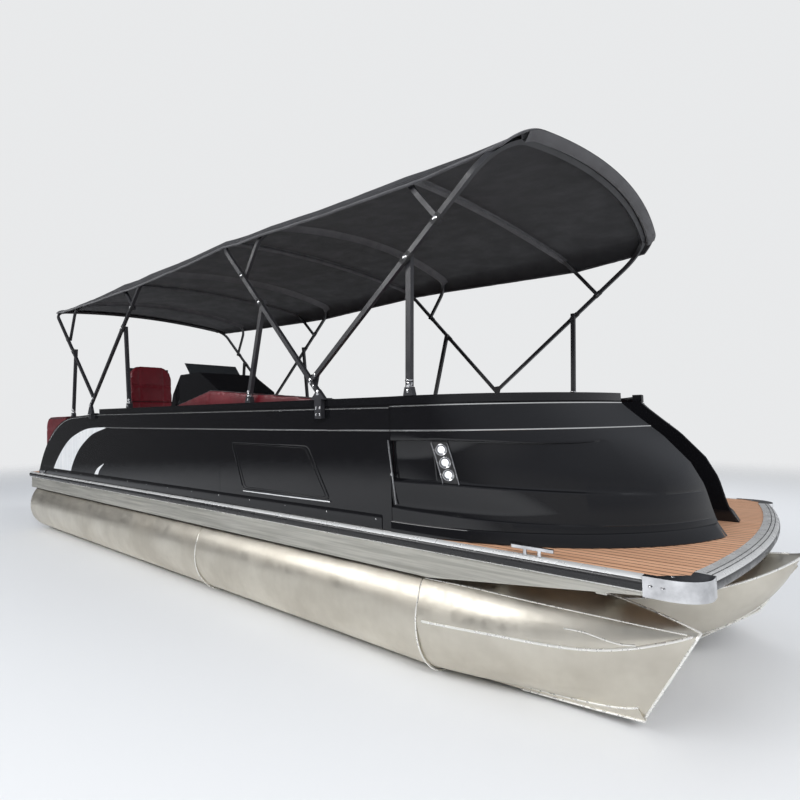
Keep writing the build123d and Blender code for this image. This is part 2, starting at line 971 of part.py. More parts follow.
def locker(start, end, inner, outer):
    """An open box on the deck, from x start to end and y inner to outer."""
    with BuildPart() as box:
        with BuildSketch(plan.offset(deck_top)):
            with Locations(((start + end) / 2, (inner + outer) / 2)):
                Rectangle(end - start, outer - inner)
        extrude(amount=base_height)
        with BuildSketch(plan.offset(deck_top + base_wall)):
            with Locations(((start + end) / 2, (inner + outer) / 2)):
                Rectangle(end - start - 2 * base_wall, outer - inner - 2 * base_wall)
        extrude(amount=base_height, mode=Mode.SUBTRACT)
    return box.part


def cushion(start, end, inner, outer, level, thickness):
    with BuildPart() as pad:
        with BuildSketch(plan.offset(deck_top + level)):
            with Locations(((start + end) / 2, (inner + outer) / 2)):
                RectangleRounded(end - start, outer - inner, cushion_corner)
        extrude(amount=thickness)
    return pad.part


lounge_inset = cap_width - cap_overhang + 4
lounge_outer = wall_y - lounge_inset
lounge_inner = lounge_outer - lounge_depth
seat_level = base_height + soft_gap
back_face = lounge_outer - backrest_thickness


def within_bow(piece, inset):
    """The part of a starboard piece that lies inside the bow shell, clear of it by inset."""
    with BuildPart() as kept:
        add(piece)
        add(shell_body(inset, bow_lounge_start - 1, 5), mode=Mode.INTERSECT)
    return kept.part


with BuildPart() as bow_lockers:
    add(locker(bow_lounge_start, bow_lid_end, lounge_inner, lounge_outer))
    mirror(about=Plane.XZ)
save(bow_lockers.part, "bow_lounge_lockers")

lid_outer = back_face - motion_gap
bow_seat = cushion(bow_lounge_start, bow_lid_end, lounge_inner, lid_outer, seat_level, cushion_thickness)
save(bow_seat, "bow_seat_port")
save(port_of(bow_seat), "bow_seat_starboard")

# Ahead of the lids the seats fill the shells, on solid bases
corner_inner = half_passage + passage_clearance


def corner_block(start, level, height):
    """A block over the starboard corner ahead of the lids, from x start on."""
    with BuildPart() as block:
        with BuildSketch(plan.offset(deck_top + level)):
            with Locations((start, -corner_inner)):
                Rectangle(
                    bow_lounge_end - bow_lid_end,
                    lounge_outer - corner_inner,
                    align=(Align.MIN, Align.MAX),
                )
        extrude(amount=height)
    return block.part


with BuildPart() as corner_bases:
    add(within_bow(corner_block(bow_lid_end + 2, 0, base_height), lounge_inset))
    mirror(about=Plane.XZ)
save(corner_bases.part, "bow_corner_bases")
with BuildPart() as corner_cushions:
    pad = corner_block(bow_lid_end + motion_gap, seat_level, cushion_thickness)
    add(within_bow(pad, lounge_inset + backrest_thickness + 1))
    mirror(about=Plane.XZ)
save(corner_cushions.part, "bow_corner_cushions")



def side_panel(level, outline):
    """A starboard panel against the wall, from a level up to an outline of x and height above the deck."""
    with BuildPart() as panel:
        with BuildSketch(side.offset(back_face)):
            with BuildLine():
                top = [(x, deck_top + z) for x, z in outline]
                Polyline((top[0][0], deck_top + level), *top, (top[-1][0], deck_top + level), close=True)
            make_face()
        extrude(amount=backrest_thickness)
    return panel.part


with BuildPart() as bow_wrap:
    add(shell_body(lounge_inset, bow_lid_end + 1, 0))
    add(shell_body(lounge_inset + backrest_thickness, bow_lid_end - 10, 0), mode=Mode.SUBTRACT)
    with BuildSketch(plan.offset(deck_top)):
        Rectangle(3 * bow_lounge_end, 2 * beam)
    extrude(amount=base_height, mode=Mode.SUBTRACT)
    with BuildSketch(plan.offset(deck_top)):
        with Locations((bow_lid_end - 20, 0)):
            passage_cut = 2 * (half_passage + lounge_inset + backrest_thickness)
            Rectangle(bow_lounge_end, passage_cut, align=(Align.MIN, Align.CENTER))
    extrude(amount=wall_height_forward - 200, mode=Mode.SUBTRACT)
with BuildPart() as bow_backrests:
    add(side_panel(base_height, bow_back_top))
    add(bow_wrap.part)
    mirror(about=Plane.XZ)
save(bow_backrests.part, "bow_lounge_backrests")

# The raised side bolster beside the helm, on a panel behind the console
save(side_panel(0, helm_bolster_top), "helm_side_bolster")

# Aft lounge: one locker across the stern, a sun pad that faces aft and a seat that faces forward
aft_port = wall_inner_y - stern_passage
with BuildPart() as aft_locker:
    add(locker(aft_start, aft_end, -lounge_outer, aft_port))
save(aft_locker.part, "aft_lounge_locker")
save(
    cushion(aft_start, aft_back_start - motion_gap, -lid_outer, aft_port, seat_level, cushion_thickness),
    "aft_sun_pad",
)
with BuildPart() as aft_backrests:
    with BuildSketch(plan.offset(deck_top + base_height)):
        with Locations(((aft_back_start + aft_back_end) / 2, (-back_face + aft_port) / 2)):
            Rectangle(aft_back_end - aft_back_start, aft_port + back_face)
    extrude(amount=aft_back_height - base_height)
    with BuildSketch(side.offset(back_face)):
        with BuildLine():
            low, high = deck_top + base_height, deck_top + aft_back_height
            Polyline(
                (aft_start + aft_back_round, high),
                (aft_back_end, high),
                (aft_back_end, low),
                (aft_start, low),
            )
            Line((aft_start, low), (aft_start, high - aft_back_round))
            RadiusArc((aft_start, high - aft_back_round), (aft_start + aft_back_round, high), aft_back_round)
        make_face()
    extrude(amount=backrest_thickness)
save(aft_backrests.part, "aft_lounge_backrests")
save(
    cushion(aft_back_end + motion_gap, aft_end, -lounge_outer, aft_port, seat_level, cushion_thickness),
    "aft_lounge_seat",
)

# Port lounge, aft of the side gate
port_end = side_gate_aft - port_gate_gap
save(locker(port_start, port_end, lounge_inner, lounge_outer), "port_lounge_locker")
save(
    cushion(port_start, port_end, lounge_inner, lid_outer, seat_level, cushion_thickness),
    "port_lounge_seat",
)
with BuildPart() as port_backrest:
    with BuildSketch(plan.offset(deck_top + base_height)):
        with Locations(((port_start + port_end) / 2, (back_face + lounge_outer) / 2)):
            Rectangle(port_end - port_start, backrest_thickness)
    extrude(amount=port_back_height - base_height)
save(port_backrest.part, "port_lounge_backrest")

# Canopy frame: hoops on two pivots a side, brace bows, posts and their feet

def cap_level(x):
    """Height of the gunwale cap above the deck."""
    return wall_top(x) + cap_height - deck_top


def on_hoop(hoop, z):
    """Where a hoop's leg is at a height above the deck, as x and height."""
    foot_x, foot_z, crown_x, crown_z = hoop
    return (foot_x + (crown_x - foot_x) * (z - foot_z) / (crown_z - foot_z), z)


def leg_direction(hoop):
    """A hoop's leg as a unit vector in x and z, upwards."""
    foot_x, foot_z, crown_x, crown_z = hoop
    length = sqrt((crown_x - foot_x) ** 2 + (crown_z - foot_z) ** 2)
    return ((crown_x - foot_x) / length, (crown_z - foot_z) / length)


def butt_start(hoop, carrier):
    """How far from the carrier's axis a leg starts, so that its square end clears the carrier's face."""
    (ax, az), (bx, bz) = leg_direction(hoop), leg_direction(carrier)
    along, across = abs(ax * bx + az * bz), abs(ax * bz - az * bx)
    return arm_tube / 2 * (1 + along) / across + butt_gap


arm_offset = beam / 2 - arm_inset
leg_outer = arm_offset + arm_tube / 2
leg_inner = leg_outer - arm_tube
brace_outer = leg_inner - washer_thickness

# Each hoop stands in its own leaning plane: foot x and height, then crown x and height above the deck
rear_hoop = (rear_pivot, cap_level(rear_pivot) + pivot_height, *rear_crown)
middle_hoop = (front_pivot, cap_level(front_pivot) + pivot_height, *middle_crown)
aft_hoop = (*on_hoop(rear_hoop, rear_joint), *aft_crown)
front_hoop = (*on_hoop(middle_hoop, front_joint), *front_crown)
aft_butt = butt_start(aft_hoop, rear_hoop)
front_butt = butt_start(front_hoop, middle_hoop)

bows = (
    # tube, where its leg starts along the plane, foot, crown, the canopy's hem height and corner radius
    (arm_tube, aft_butt, *aft_hoop, *aft_hem),
    (brace_tube, brace_start, *on_hoop(aft_hoop, aft_brace_joint), *aft_brace_crown, *aft_brace_hem),
    (brace_tube, brace_start, *on_hoop(rear_hoop, rear_brace_joint), *rear_brace_crown, *rear_brace_hem),
    (arm_tube, leg_start, *rear_hoop, *rear_hem),
    (arm_tube, leg_start, *middle_hoop, *middle_hem),
    (
        brace_tube,
        brace_start,
        *on_hoop(middle_hoop, middle_brace_joint),
        *middle_brace_crown,
        *middle_brace_hem,
    ),
    (brace_tube, brace_start, *on_hoop(front_hoop, front_brace_joint), *front_brace_crown, *front_brace_hem),
    (arm_tube, front_butt, *front_hoop, *front_hem),
)


def lean_plane(x, z, top_x, top_z):
    """A plane whose x is port and whose y runs up from (x, z) towards (top_x, top_z), heights above deck."""
    return Plane(origin=(deck_aft + x, 0, deck_top + z), x_dir=(0, 1, 0), z_dir=(top_z - z, 0, x - top_x))


def bow_corner(half_width, top, corner):
    """Centre of a bow's corner, tangent to its leg and to its crown, and the angle where the crown starts."""
    centre = (
        half_width - corner,
        top - canopy_crown_radius + sqrt((canopy_crown_radius - corner) ** 2 - (half_width - corner) ** 2),
    )
    return centre, atan2(centre[1] - top + canopy_crown_radius, centre[0])


def crowned_arcs(half_width, top, corner, step, start):
    """Corner, crown and corner, moved out by step, from the angle start. Returns its first point."""
    centre, away = bow_corner(half_width, top, corner)
    first, middle, last = [
        (centre[0] + (corner + step) * cos(angle), centre[1] + (corner + step) * sin(angle))
        for angle in (start, (start + away) / 2, away)
    ]
    ThreePointArc(first, middle, last)
    ThreePointArc(last, (0, top + step), (-last[0], last[1]))
    ThreePointArc((-last[0], last[1]), (-middle[0], middle[1]), (-first[0], first[1]))
    return first


def bow_length(foot_x, foot_z, crown_x, crown_z):
    return sqrt((crown_x - foot_x) ** 2 + (crown_z - foot_z) ** 2)


def make_bow(tube, start, foot_x, foot_z, crown_x, crown_z, corner):
    """A tube bow whose top lies under the canvas by the rise of its tilted upper corner."""
    half_width = leg_outer if tube == arm_tube else brace_outer
    radius = corner - (leg_outer - half_width)
    sink = tube / 2 * abs(crown_x - foot_x) / (crown_z - foot_z) + bow_clearance
    top = bow_length(foot_x, foot_z, crown_x, crown_z) - sink
    with BuildPart() as bent:
        with BuildSketch(lean_plane(foot_x, foot_z, crown_x, crown_z).offset(-tube / 2)):
            for step, mode in ((0, Mode.ADD), (-tube, Mode.SUBTRACT)):
                with BuildLine():
                    x, y = crowned_arcs(half_width, top, radius, step, 0)
                    Polyline((-x, y), (-x, start), (x, start), (x, y))
                make_face(mode=mode)
        extrude(amount=tube)
    return bent.part


with BuildPart() as canopy:
    for i, (tube, leg, foot_x, foot_z, crown_x, crown_z, hem_z, corner) in enumerate(bows):
        reach = {0: -canopy_overhang_aft, len(bows) - 1: canopy_overhang_front}.get(i, 0)
        top = bow_length(foot_x, foot_z, crown_x, crown_z)
        hem = (hem_z - foot_z) * top / (crown_z - foot_z)
        with BuildSketch(lean_plane(foot_x + reach, foot_z, crown_x + reach, crown_z)):
            with BuildLine():
                centre, away = bow_corner(leg_outer, top, corner)
                start = asin((hem - centre[1]) / corner)
                x, y = crowned_arcs(leg_outer, top, corner, canopy_clearance, start)
                step = canopy_clearance + canopy_thickness
                outer_x, outer_y = crowned_arcs(leg_outer, top, corner, step, start)
                Line((x, y), (outer_x, outer_y))
                Line((-x, y), (-outer_x, outer_y))
            make_face()
    loft(ruled=True)
save(canopy.part, "canopy")

for size, label in ((arm_tube, "canopy_hoops"), (brace_tube, "canopy_brace_bows")):
    with BuildPart() as bow_set:
        for tube, leg, foot_x, foot_z, crown_x, crown_z, hem_z, corner in bows:
            if tube == size:
                add(make_bow(tube, leg, foot_x, foot_z, crown_x, crown_z, corner))
    save(bow_set.part, label)


def wall_level(x):
    """Height above the deck of what a foot stands on: the cap, or the wall where it curves down."""
    if x >= wall_level_start:
        return cap_level(x)
    (ax, ay), (bx, by), (cx, cy) = (wall_foot, 0), *wall_curve
    if x >= cx:
        return cy + (x - cx) / (wall_level_start - cx) * (wall_top(wall_level_start) - deck_top - cy)
    d = 2 * (ax * (by - cy) + bx * (cy - ay) + cx * (ay - by))
    ux = ((ax**2 + ay**2) * (by - cy) + (bx**2 + by**2) * (cy - ay) + (cx**2 + cy**2) * (ay - by)) / d
    uy = ((ax**2 + ay**2) * (cx - bx) + (bx**2 + by**2) * (ax - cx) + (cx**2 + cy**2) * (bx - ax)) / d
    return uy + sqrt((ax - ux) ** 2 + (ay - uy) ** 2 - (x - ux) ** 2)


posts = (
    # foot x, top height above deck, and the hoop that it carries
    (*front_post, front_hoop),
    (*middle_post, middle_hoop),
    (*rear_post, rear_hoop),
    (*aft_post, aft_hoop),
)


def side_prism(inner, width, outline):
    """A starboard solid from y inner outwards, over an outline of x and height above the deck."""
    with BuildPart() as prism:
        with BuildSketch(side.offset(inner)):
            with BuildLine():
                Polyline(*[(x, deck_top + z) for x, z in outline], close=True)
            make_face()
        extrude(amount=width)
    return prism.part


with BuildPart() as post_set:
    for foot_x, top_z, hoop in posts:
        top_x = on_hoop(hoop, top_z)[0]
        foot_z = wall_level(foot_x) + foot_height
        outline = (
            (foot_x - post_tube / 2, foot_z),
            (foot_x + post_tube / 2, foot_z),
            (top_x + post_tube / 2, top_z + post_above),
            (top_x - post_tube / 2, top_z + post_above),
        )
        add(side_prism(brace_outer - post_tube, post_tube, outline))
    mirror(about=Plane.XZ)
save(post_set.part, "canopy_posts")

brackets = (
    # pivot x, the hoop that stands there, the y of what it hangs beside, and how far it hangs down
    (front_pivot, middle_hoop, wall_y + cap_overhang, front_bracket_drop),
    (rear_pivot, rear_hoop, wall_y, rear_bracket_drop),
)
joint_points = [on_hoop(hoop, top_z) for foot_x, top_z, hoop in posts]
joint_points += [(foot_x, foot_z) for tube, leg, foot_x, foot_z, *rest in bows if tube == brace_tube]
with BuildPart() as canopy_mounts:
    for foot_x, top_z, hoop in posts:
        left, right = foot_x - foot_length / 2, foot_x + foot_length / 2
        foot_z = wall_level(foot_x) + foot_height
        neck = post_tube / 2 + foot_rim
        outline = (
            (left, wall_level(left)),
            (right, wall_level(right)),
            (foot_x + neck, foot_z),
            (foot_x - neck, foot_z),
        )
        add(side_prism(brace_outer - post_tube - foot_rim, post_tube + 2 * foot_rim, outline))
    for x, hoop, beside, drop in brackets:
        left, right = x - bracket_half, x + bracket_half
        low_left, low_right = wall_level(left), wall_level(right)
        dx, dz = leg_direction(hoop)
        neck = arm_tube / 2 + foot_rim
        end_x, end_z = hoop[0] + leg_start * dx, hoop[1] + leg_start * dz
        outline = (
            (left, low_left),
            (right, low_right),
            (end_x + neck * dz, end_z - neck * dx),
            (end_x - neck * dz, end_z + neck * dx),
        )
        add(side_prism(leg_inner, arm_tube, outline))
        outline = (
            (left, low_left),
            (right, low_right),
            (right, low_right + bracket_base),
            (left, low_left + bracket_base),
        )
        add(side_prism(wall_y - bracket_inner, leg_outer - wall_y + bracket_inner, outline))
        left, right = x - bracket_width / 2, x + bracket_width / 2
        outline = (
            (left, wall_level(x) - drop),
            (right, wall_level(x) - drop),
            (right, wall_level(right)),
            (left, wall_level(left)),
        )
        add(side_prism(beside, leg_outer - beside, outline))
    for hoop, carrier in ((front_hoop, middle_hoop), (aft_hoop, rear_hoop)):
        (ax, az), (bx, bz) = leg_direction(hoop), leg_direction(carrier)
        outline = (
            (hoop[0] - gusset_half * bx, hoop[1] - gusset_half * bz),
            (hoop[0] + gusset_half * bx, hoop[1] + gusset_half * bz),
            (hoop[0] + gusset_reach * ax, hoop[1] + gusset_reach * az),
        )
        add(side_prism(brace_outer, washer_thickness, outline))
    for x, z in joint_points:
        with BuildSketch(side.offset(brace_outer)):
            with Locations((x, deck_top + z)):
                Circle(washer_radius)
        extrude(amount=washer_thickness)
    mirror(about=Plane.XZ)
save(canopy_mounts.part, "canopy_mounts")

# Motor pod behind the centre tube, with a raked transom

with BuildPart() as pod:
    with BuildSketch(side.offset(-pod_half_width)):
        with BuildLine():
            Polyline(
                (centre_tube_aft, transom_height),
                (-pod_length, transom_height),
                (-pod_length + transom_lean, transom_foot),
                (centre_tube_aft, pod_foot),
                close=True,
            )
        make_face()
    extrude(amount=2 * pod_half_width)
save(pod.part, "motor_pod")

# Outboard. Its own frame has its origin on the tilt axis, x forward and y up along the leg.

tilt = radians(tilt_angle)
tilt_point = (deck_aft - pod_length - tilt_aft, 0, transom_height + tilt_above)
forward = (cos(tilt), 0, -sin(tilt))
upward = (sin(tilt), 0, cos(tilt))
leg_side = Plane(origin=tilt_point, x_dir=forward, z_dir=(0, -1, 0))
leg_plan = Plane(origin=tilt_point, x_dir=forward, z_dir=upward)
shaft_plane = Plane(
    origin=(tilt_point[0] - shaft_depth * upward[0], 0, tilt_point[2] - shaft_depth * upward[2]),
    x_dir=(0, 1, 0),
    z_dir=(-forward[0], 0, -forward[2]),
)

transom = Plane(origin=(tilt_point[0], 0, tilt_point[2]), x_dir=(1, 0, 0), z_dir=(0, -1, 0))
rake = transom_lean / (transom_height - transom_foot)
with BuildPart() as clamp:
    for y in (bracket_gap, -bracket_gap - bracket_plate):
        with BuildSketch(transom.offset(y)):
            with BuildLine():
                Polyline(
                    (tilt_aft, -tilt_above),
                    (tilt_aft + rake * clamp_drop, -tilt_above - clamp_drop),
                    (tilt_aft + rake * clamp_drop - clamp_depth, -tilt_above - clamp_drop),
                    (-45, -40),
                    (-45, 16),
                    (-16, 24),
                    (20, 24),
                    (clamp_hook, -30),
                    (clamp_hook, -tilt_above),
                    close=True,
                )
            make_face()
        extrude(amount=bracket_plate)
    with BuildSketch(transom.offset(-bracket_gap - bracket_plate)):
        Circle(tilt_pin_radius)
    extrude(amount=2 * (bracket_gap + bracket_plate))
save(clamp.part, "outboard_clamp_bracket")

with BuildPart() as swivel_bracket:
    with BuildSketch(leg_side.offset(-bracket_gap + motion_gap)):
        Circle(tilt_tube_radius)
    extrude(amount=2 * (bracket_gap - motion_gap))
    with BuildSketch(leg_side.offset(-swivel_radius + 4)):
        with BuildLine():
            Polyline(
                (-king_pin_back, swivel_top),
                (-king_pin_back, -230),
                (-30, -120),
                (tilt_tube_radius - 4, -10),
                (-8, tilt_tube_radius - 4),
                (-42, -4),
                (-42, swivel_top),
                close=True,
            )
        make_face()
    extrude(amount=2 * (swivel_radius - 4))
    with BuildSketch(leg_plan.offset(swivel_bottom)):
        with Locations((-king_pin_back, 0)):
            Circle(swivel_radius)
    extrude(amount=swivel_top - swivel_bottom)
    with BuildSketch(leg_side.offset(-bracket_gap)):
        Circle(tilt_pin_radius + hinge_clearance)
    extrude(amount=2 * bracket_gap, mode=Mode.SUBTRACT)
    with BuildSketch(leg_plan.offset(swivel_bottom)):
        with Locations((-king_pin_back, 0)):
            Circle(king_pin_radius + hinge_clearance)
    extrude(amount=swivel_top - swivel_bottom, mode=Mode.SUBTRACT)
save(swivel_bracket.part, "outboard_swivel_bracket")

leg_front = -king_pin_back - swivel_radius - 14
pan_back = leg_back - 50
pan_length = leg_front - leg_back + 100
with BuildPart() as leg:
    yokes = ((swivel_top + yoke_gap, yoke_top), (swivel_bottom - yoke_depth, swivel_bottom - yoke_gap))
    for low, high in yokes:
        with BuildSketch(leg_plan.offset(low)):
            with Locations((-king_pin_back, 0)):
                Circle(yoke_radius)
            with Locations((-king_pin_back - 50, 0)):
                Rectangle(100, 2 * yoke_radius)
        extrude(amount=high - low)
    with BuildSketch(leg_plan.offset(swivel_bottom - 20)):
        with Locations((-king_pin_back, 0)):
            Circle(king_pin_radius)
    extrude(amount=swivel_top - swivel_bottom + 40)
    with BuildSketch(leg_plan.offset(swivel_top + yoke_gap)):
        with Locations((pan_back, 0)):
            RectangleRounded(pan_length, 2 * leg_width - 2, 40, align=(Align.MIN, Align.CENTER))
    extrude(amount=yoke_top - swivel_top - yoke_gap)
    with BuildSketch(leg_plan.offset(yoke_top)):
        with Locations((pan_back + 10, 0)):
            RectangleRounded(pan_length - 40, 2 * leg_width - 22, 40, align=(Align.MIN, Align.CENTER))
    extrude(amount=cowl_bottom - yoke_top)
    with BuildSketch(leg_plan.offset(-plate_depth)):
        with Locations(((leg_front + leg_back) / 2, 0)):
            RectangleRounded(leg_front - leg_back, leg_width, 40)
    extrude(amount=plate_depth + yoke_top)
    with BuildSketch(leg_plan.offset(-plate_depth)):
        with Locations((leg_front + 40, 0)):
            RectangleRounded(leg_front + 580, 250, 60, align=(Align.MAX, Align.CENTER))
    extrude(amount=leg_plate)
    with BuildSketch(leg_side.offset(-26)):
        with BuildLine():
            Polyline(
                (leg_front, -plate_depth + 5),
                (leg_front + 20, -shaft_depth),
                (leg_back, -shaft_depth),
                (leg_back - 20, -plate_depth + 5),
                close=True,
            )
        make_face()
    extrude(amount=52)
    with BuildSketch(shaft_plane.offset(-gearcase_nose)):
        Circle(gearcase_radius)
    extrude(amount=gearcase_nose - gearcase_end, taper=2)
    with BuildSketch(leg_side.offset(-9)):
        with BuildLine():
            Polyline(
                (-190, -shaft_depth),
                (-330, -skeg_depth + 12),
                (-skeg_back, -skeg_depth),
                (-390, -shaft_depth),
                close=True,
            )
        make_face()
    extrude(amount=18)
    with BuildSketch(shaft_plane.offset(-gearcase_end - propeller_shaft_length - 2)):
        Circle(propeller_shaft_radius + hinge_clearance)
    extrude(amount=propeller_shaft_length + 10, mode=Mode.SUBTRACT)
save(leg.part, "outboard_leg")

with BuildPart() as propeller:
    with BuildSketch(shaft_plane.offset(hub_start)):
        Circle(hub_radius)
    extrude(amount=hub_length)
    with BuildSketch(shaft_plane.offset(-gearcase_end - propeller_shaft_length)):
        Circle(propeller_shaft_radius)
    extrude(amount=propeller_shaft_length + hub_start + gearcase_end + 20)
    for turn in (0, 120, 240):
        swept = (cos(radians(turn)), sin(radians(turn)))
        middle = shaft_plane.offset(hub_start + hub_length / 2)
        out = middle.x_dir * swept[0] + middle.y_dir * swept[1]
        across = middle.z_dir.cross(out)
        blade_across = across * cos(radians(blade_pitch)) + middle.z_dir * sin(radians(blade_pitch))
        blade_plane = Plane(origin=middle.origin, x_dir=out, z_dir=out.cross(blade_across))
        with BuildSketch(blade_plane.offset(-blade_thickness / 2)):
            with Locations(((hub_radius + propeller_radius) / 2 - 6, 0)):
                Ellipse((propeller_radius - hub_radius) / 2 + 6, blade_half_width)
        extrude(amount=blade_thickness)
save(propeller.part, "propeller")


def cowl_body(inset):
    """The cowl's outer form, or what is left inside its wall when it is moved in."""
    with BuildPart() as hull:
        for level, shrink, fore in (
            (cowl_bottom, 60, -90),
            (cowl_bottom + 170, 12, -10),
            (cowl_top - 190, 0, 0),
            (cowl_top - inset, 70, -50),
        ):
            with BuildSketch(leg_plan.offset(level)):
                with Locations((cowl_front + fore - inset, 0)):
                    RectangleRounded(
                        cowl_length + fore - shrink - 2 * inset,
                        cowl_width - 2 * shrink - 2 * inset,
                        cowl_corner,
                        align=(Align.MAX, Align.CENTER),
                    )
        loft()
    return hull.part


with BuildPart() as cowl:
    add(cowl_body(0))
    add(cowl_body(cowl_wall), mode=Mode.SUBTRACT)
save(cowl.part, "outboard_cowl")

with BuildPart() as engine:
    with BuildSketch(leg_plan.offset(cowl_bottom)):
        with Locations((block_middle, 0)):
            Rectangle(block_length, block_width)
    extrude(amount=block_height)
save(engine.part, "outboard_engine")

# Boarding ladder, stowed flat on the aft deck and hinged at its edge

ladder_y = beam / 2 - ladder_inset
ladder_hinge_z = deck_top + ladder_hinge_height
with BuildPart() as ladder:
    for y in (ladder_y - ladder_width / 2, ladder_y + ladder_width / 2):
        with BuildSketch(station.offset(ladder_hinge_x + 20)):
            with Locations((y, ladder_hinge_z)):
                Circle(ladder_tube / 2)
        extrude(amount=ladder_length - 20)
        with BuildSketch(side.offset(-y - ladder_tube / 2)):
            with Locations((ladder_hinge_x, ladder_hinge_z)):
                Circle(ladder_tube / 2)
            with Locations((ladder_hinge_x + 15, ladder_hinge_z)):
                Rectangle(30, ladder_tube - 4)
        extrude(amount=ladder_tube)
        with BuildSketch(side.offset(-y - ladder_tube / 2)):
            with Locations((ladder_hinge_x, ladder_hinge_z)):
                Circle(hinge_bar_radius + hinge_clearance)
        extrude(amount=ladder_tube, mode=Mode.SUBTRACT)
    for i in range(3):
        with BuildSketch(side.offset(-ladder_y - ladder_width / 2)):
            with Locations((ladder_hinge_x + tread_first + i * tread_pitch, ladder_hinge_z)):
                RectangleRounded(tread_depth, tread_height, tread_height / 3)
        extrude(amount=ladder_width)
save(ladder.part, "boarding_ladder")

with BuildPart() as ladder_hinge:
    bar_half = ladder_width / 2 + ladder_tube / 2 + hinge_bar_end
    with BuildSketch(side.offset(-ladder_y - bar_half)):
        with Locations((ladder_hinge_x, ladder_hinge_z)):
            Circle(hinge_bar_radius)
    extrude(amount=2 * bar_half)
    for y in (ladder_y - bar_half, ladder_y + bar_half - hinge_bracket):
        with BuildSketch(side.offset(-y - hinge_bracket)):
            with BuildLine():
                Polyline(
                    (ladder_hinge_x - 16, ladder_hinge_z + 14),
                    (ladder_hinge_x + 16, ladder_hinge_z + 14),
                    (60, deck_top + 10),
                    (60, deck_top),
                    (1, deck_top),
                    (1, rail_top),
                    (ladder_hinge_x + 10, rail_top),
                    (ladder_hinge_x - 16, ladder_hinge_z - 14),
                    close=True,
                )
            make_face()
        extrude(amount=hinge_bracket)
save(ladder_hinge.part, "ladder_hinge")

# Mooring cleats on the side rails

cleat_y = beam / 2 - rail_depth / 2 - 6
with BuildPart() as cleats:
    for x in cleat_stations:
        with BuildSketch(plan.offset(rail_top)):
            with Locations((x, cleat_y)):
                with GridLocations(cleat_length / 3, 1, 2, 1):
                    Circle(cleat_post)
        extrude(amount=cleat_height - cleat_bar / 2)
        with BuildSketch(plan.offset(rail_top + cleat_height - cleat_bar)):
            with Locations((x, cleat_y)):
                SlotOverall(cleat_length, cleat_width)
        extrude(amount=cleat_bar)
    mirror(about=Plane.XZ)
save(cleats.part, "mooring_cleats")
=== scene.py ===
# %% [markdown]
# # A pontoon boat with a closed, curved bow
#
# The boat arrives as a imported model: tubes, deck, walls, canopy frame and motor are there at their
# real size, in metres, with +X to the bow, +Y to port and the floor at Z 0. This lesson gives every
# surface its finish, works the bow, rails, helm and motor out in detail, and makes the soft parts
# again as cloth and padding.

import json
from math import acos, asin, atan2, cos, exp, hypot, pi, radians, sin, sqrt

import bmesh
import bpy
from mathutils import Matrix, Vector, noise
from mathutils.bvhtree import BVHTree
from mathutils.kdtree import KDTree


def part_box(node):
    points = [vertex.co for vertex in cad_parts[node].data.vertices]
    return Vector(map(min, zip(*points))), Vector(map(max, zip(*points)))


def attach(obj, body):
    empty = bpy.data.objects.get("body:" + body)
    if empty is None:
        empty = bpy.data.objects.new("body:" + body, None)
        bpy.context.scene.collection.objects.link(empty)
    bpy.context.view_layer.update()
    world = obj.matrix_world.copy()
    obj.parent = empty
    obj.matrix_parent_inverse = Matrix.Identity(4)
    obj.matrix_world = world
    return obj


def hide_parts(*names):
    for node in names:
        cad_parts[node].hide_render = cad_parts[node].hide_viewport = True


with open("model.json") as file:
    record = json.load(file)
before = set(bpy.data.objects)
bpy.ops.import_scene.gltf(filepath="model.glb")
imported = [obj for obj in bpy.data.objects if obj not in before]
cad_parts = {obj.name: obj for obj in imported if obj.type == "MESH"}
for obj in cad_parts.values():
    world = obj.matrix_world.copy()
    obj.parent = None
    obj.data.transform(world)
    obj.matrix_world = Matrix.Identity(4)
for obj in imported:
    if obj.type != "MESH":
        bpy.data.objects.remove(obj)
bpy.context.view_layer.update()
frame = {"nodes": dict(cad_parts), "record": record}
nodes = frame["nodes"]
scene = bpy.context.scene
deck_low, deck_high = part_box("deck_planking")
deck_top, deck_aft = deck_high.z, deck_low.x
up_way, down, starboard = Vector((0, 0, 1)), Vector((0, 0, -1)), Vector((0, -1, 0))
print("deck top", round(deck_top, 3), "aft edge", round(deck_aft, 3))

# %% [markdown]
# ## The camera
#
# The boat is seen from off its starboard bow, a little below eye level and so close that the bow looms.
# A small shift keeps the verticals upright while the boat sits low and left in the picture.

# %% Camera
eye = Vector((7.695 + deck_aft, -3.663, 0.624 + deck_top))
heading, lift, bank = 0.7717, 0.0390, -0.0184
ahead = Vector((-cos(heading) * cos(lift), sin(heading) * cos(lift), sin(lift)))
level_right = ahead.cross(up_way).normalized()
level_up = level_right.cross(ahead)
right = level_right * cos(bank) + level_up * sin(bank)
up = level_up * cos(bank) - level_right * sin(bank)

lens_data = bpy.data.cameras.new("camera")
lens_data.lens, lens_data.shift_x = 23.8, 0.125
camera = bpy.data.objects.new("camera", lens_data)
camera.matrix_world = Matrix.Translation(eye) @ Matrix((right, up, -ahead)).transposed().to_4x4()
scene.collection.objects.link(camera)
scene.camera = camera
print("camera at", [round(c, 2) for c in eye])

# %% [markdown]
# ## Shared effects
#
# Several finishes need the same effects: soft blotches where metal was handled and rinsed, fine grain that
# runs along the boat, streaks, the pebbles of embossed skin, and a woven cloth. Each is a node group.


# %% Node helpers
def filled(made, inputs):
    """Links a node's inputs, by name or number, to sockets or sets them to values, and gives the node back."""
    for name, value in inputs.items():
        if isinstance(value, bpy.types.NodeSocket):
            made.id_data.links.new(value, made.inputs[name])
        else:
            made.inputs[name].default_value = value
    return made


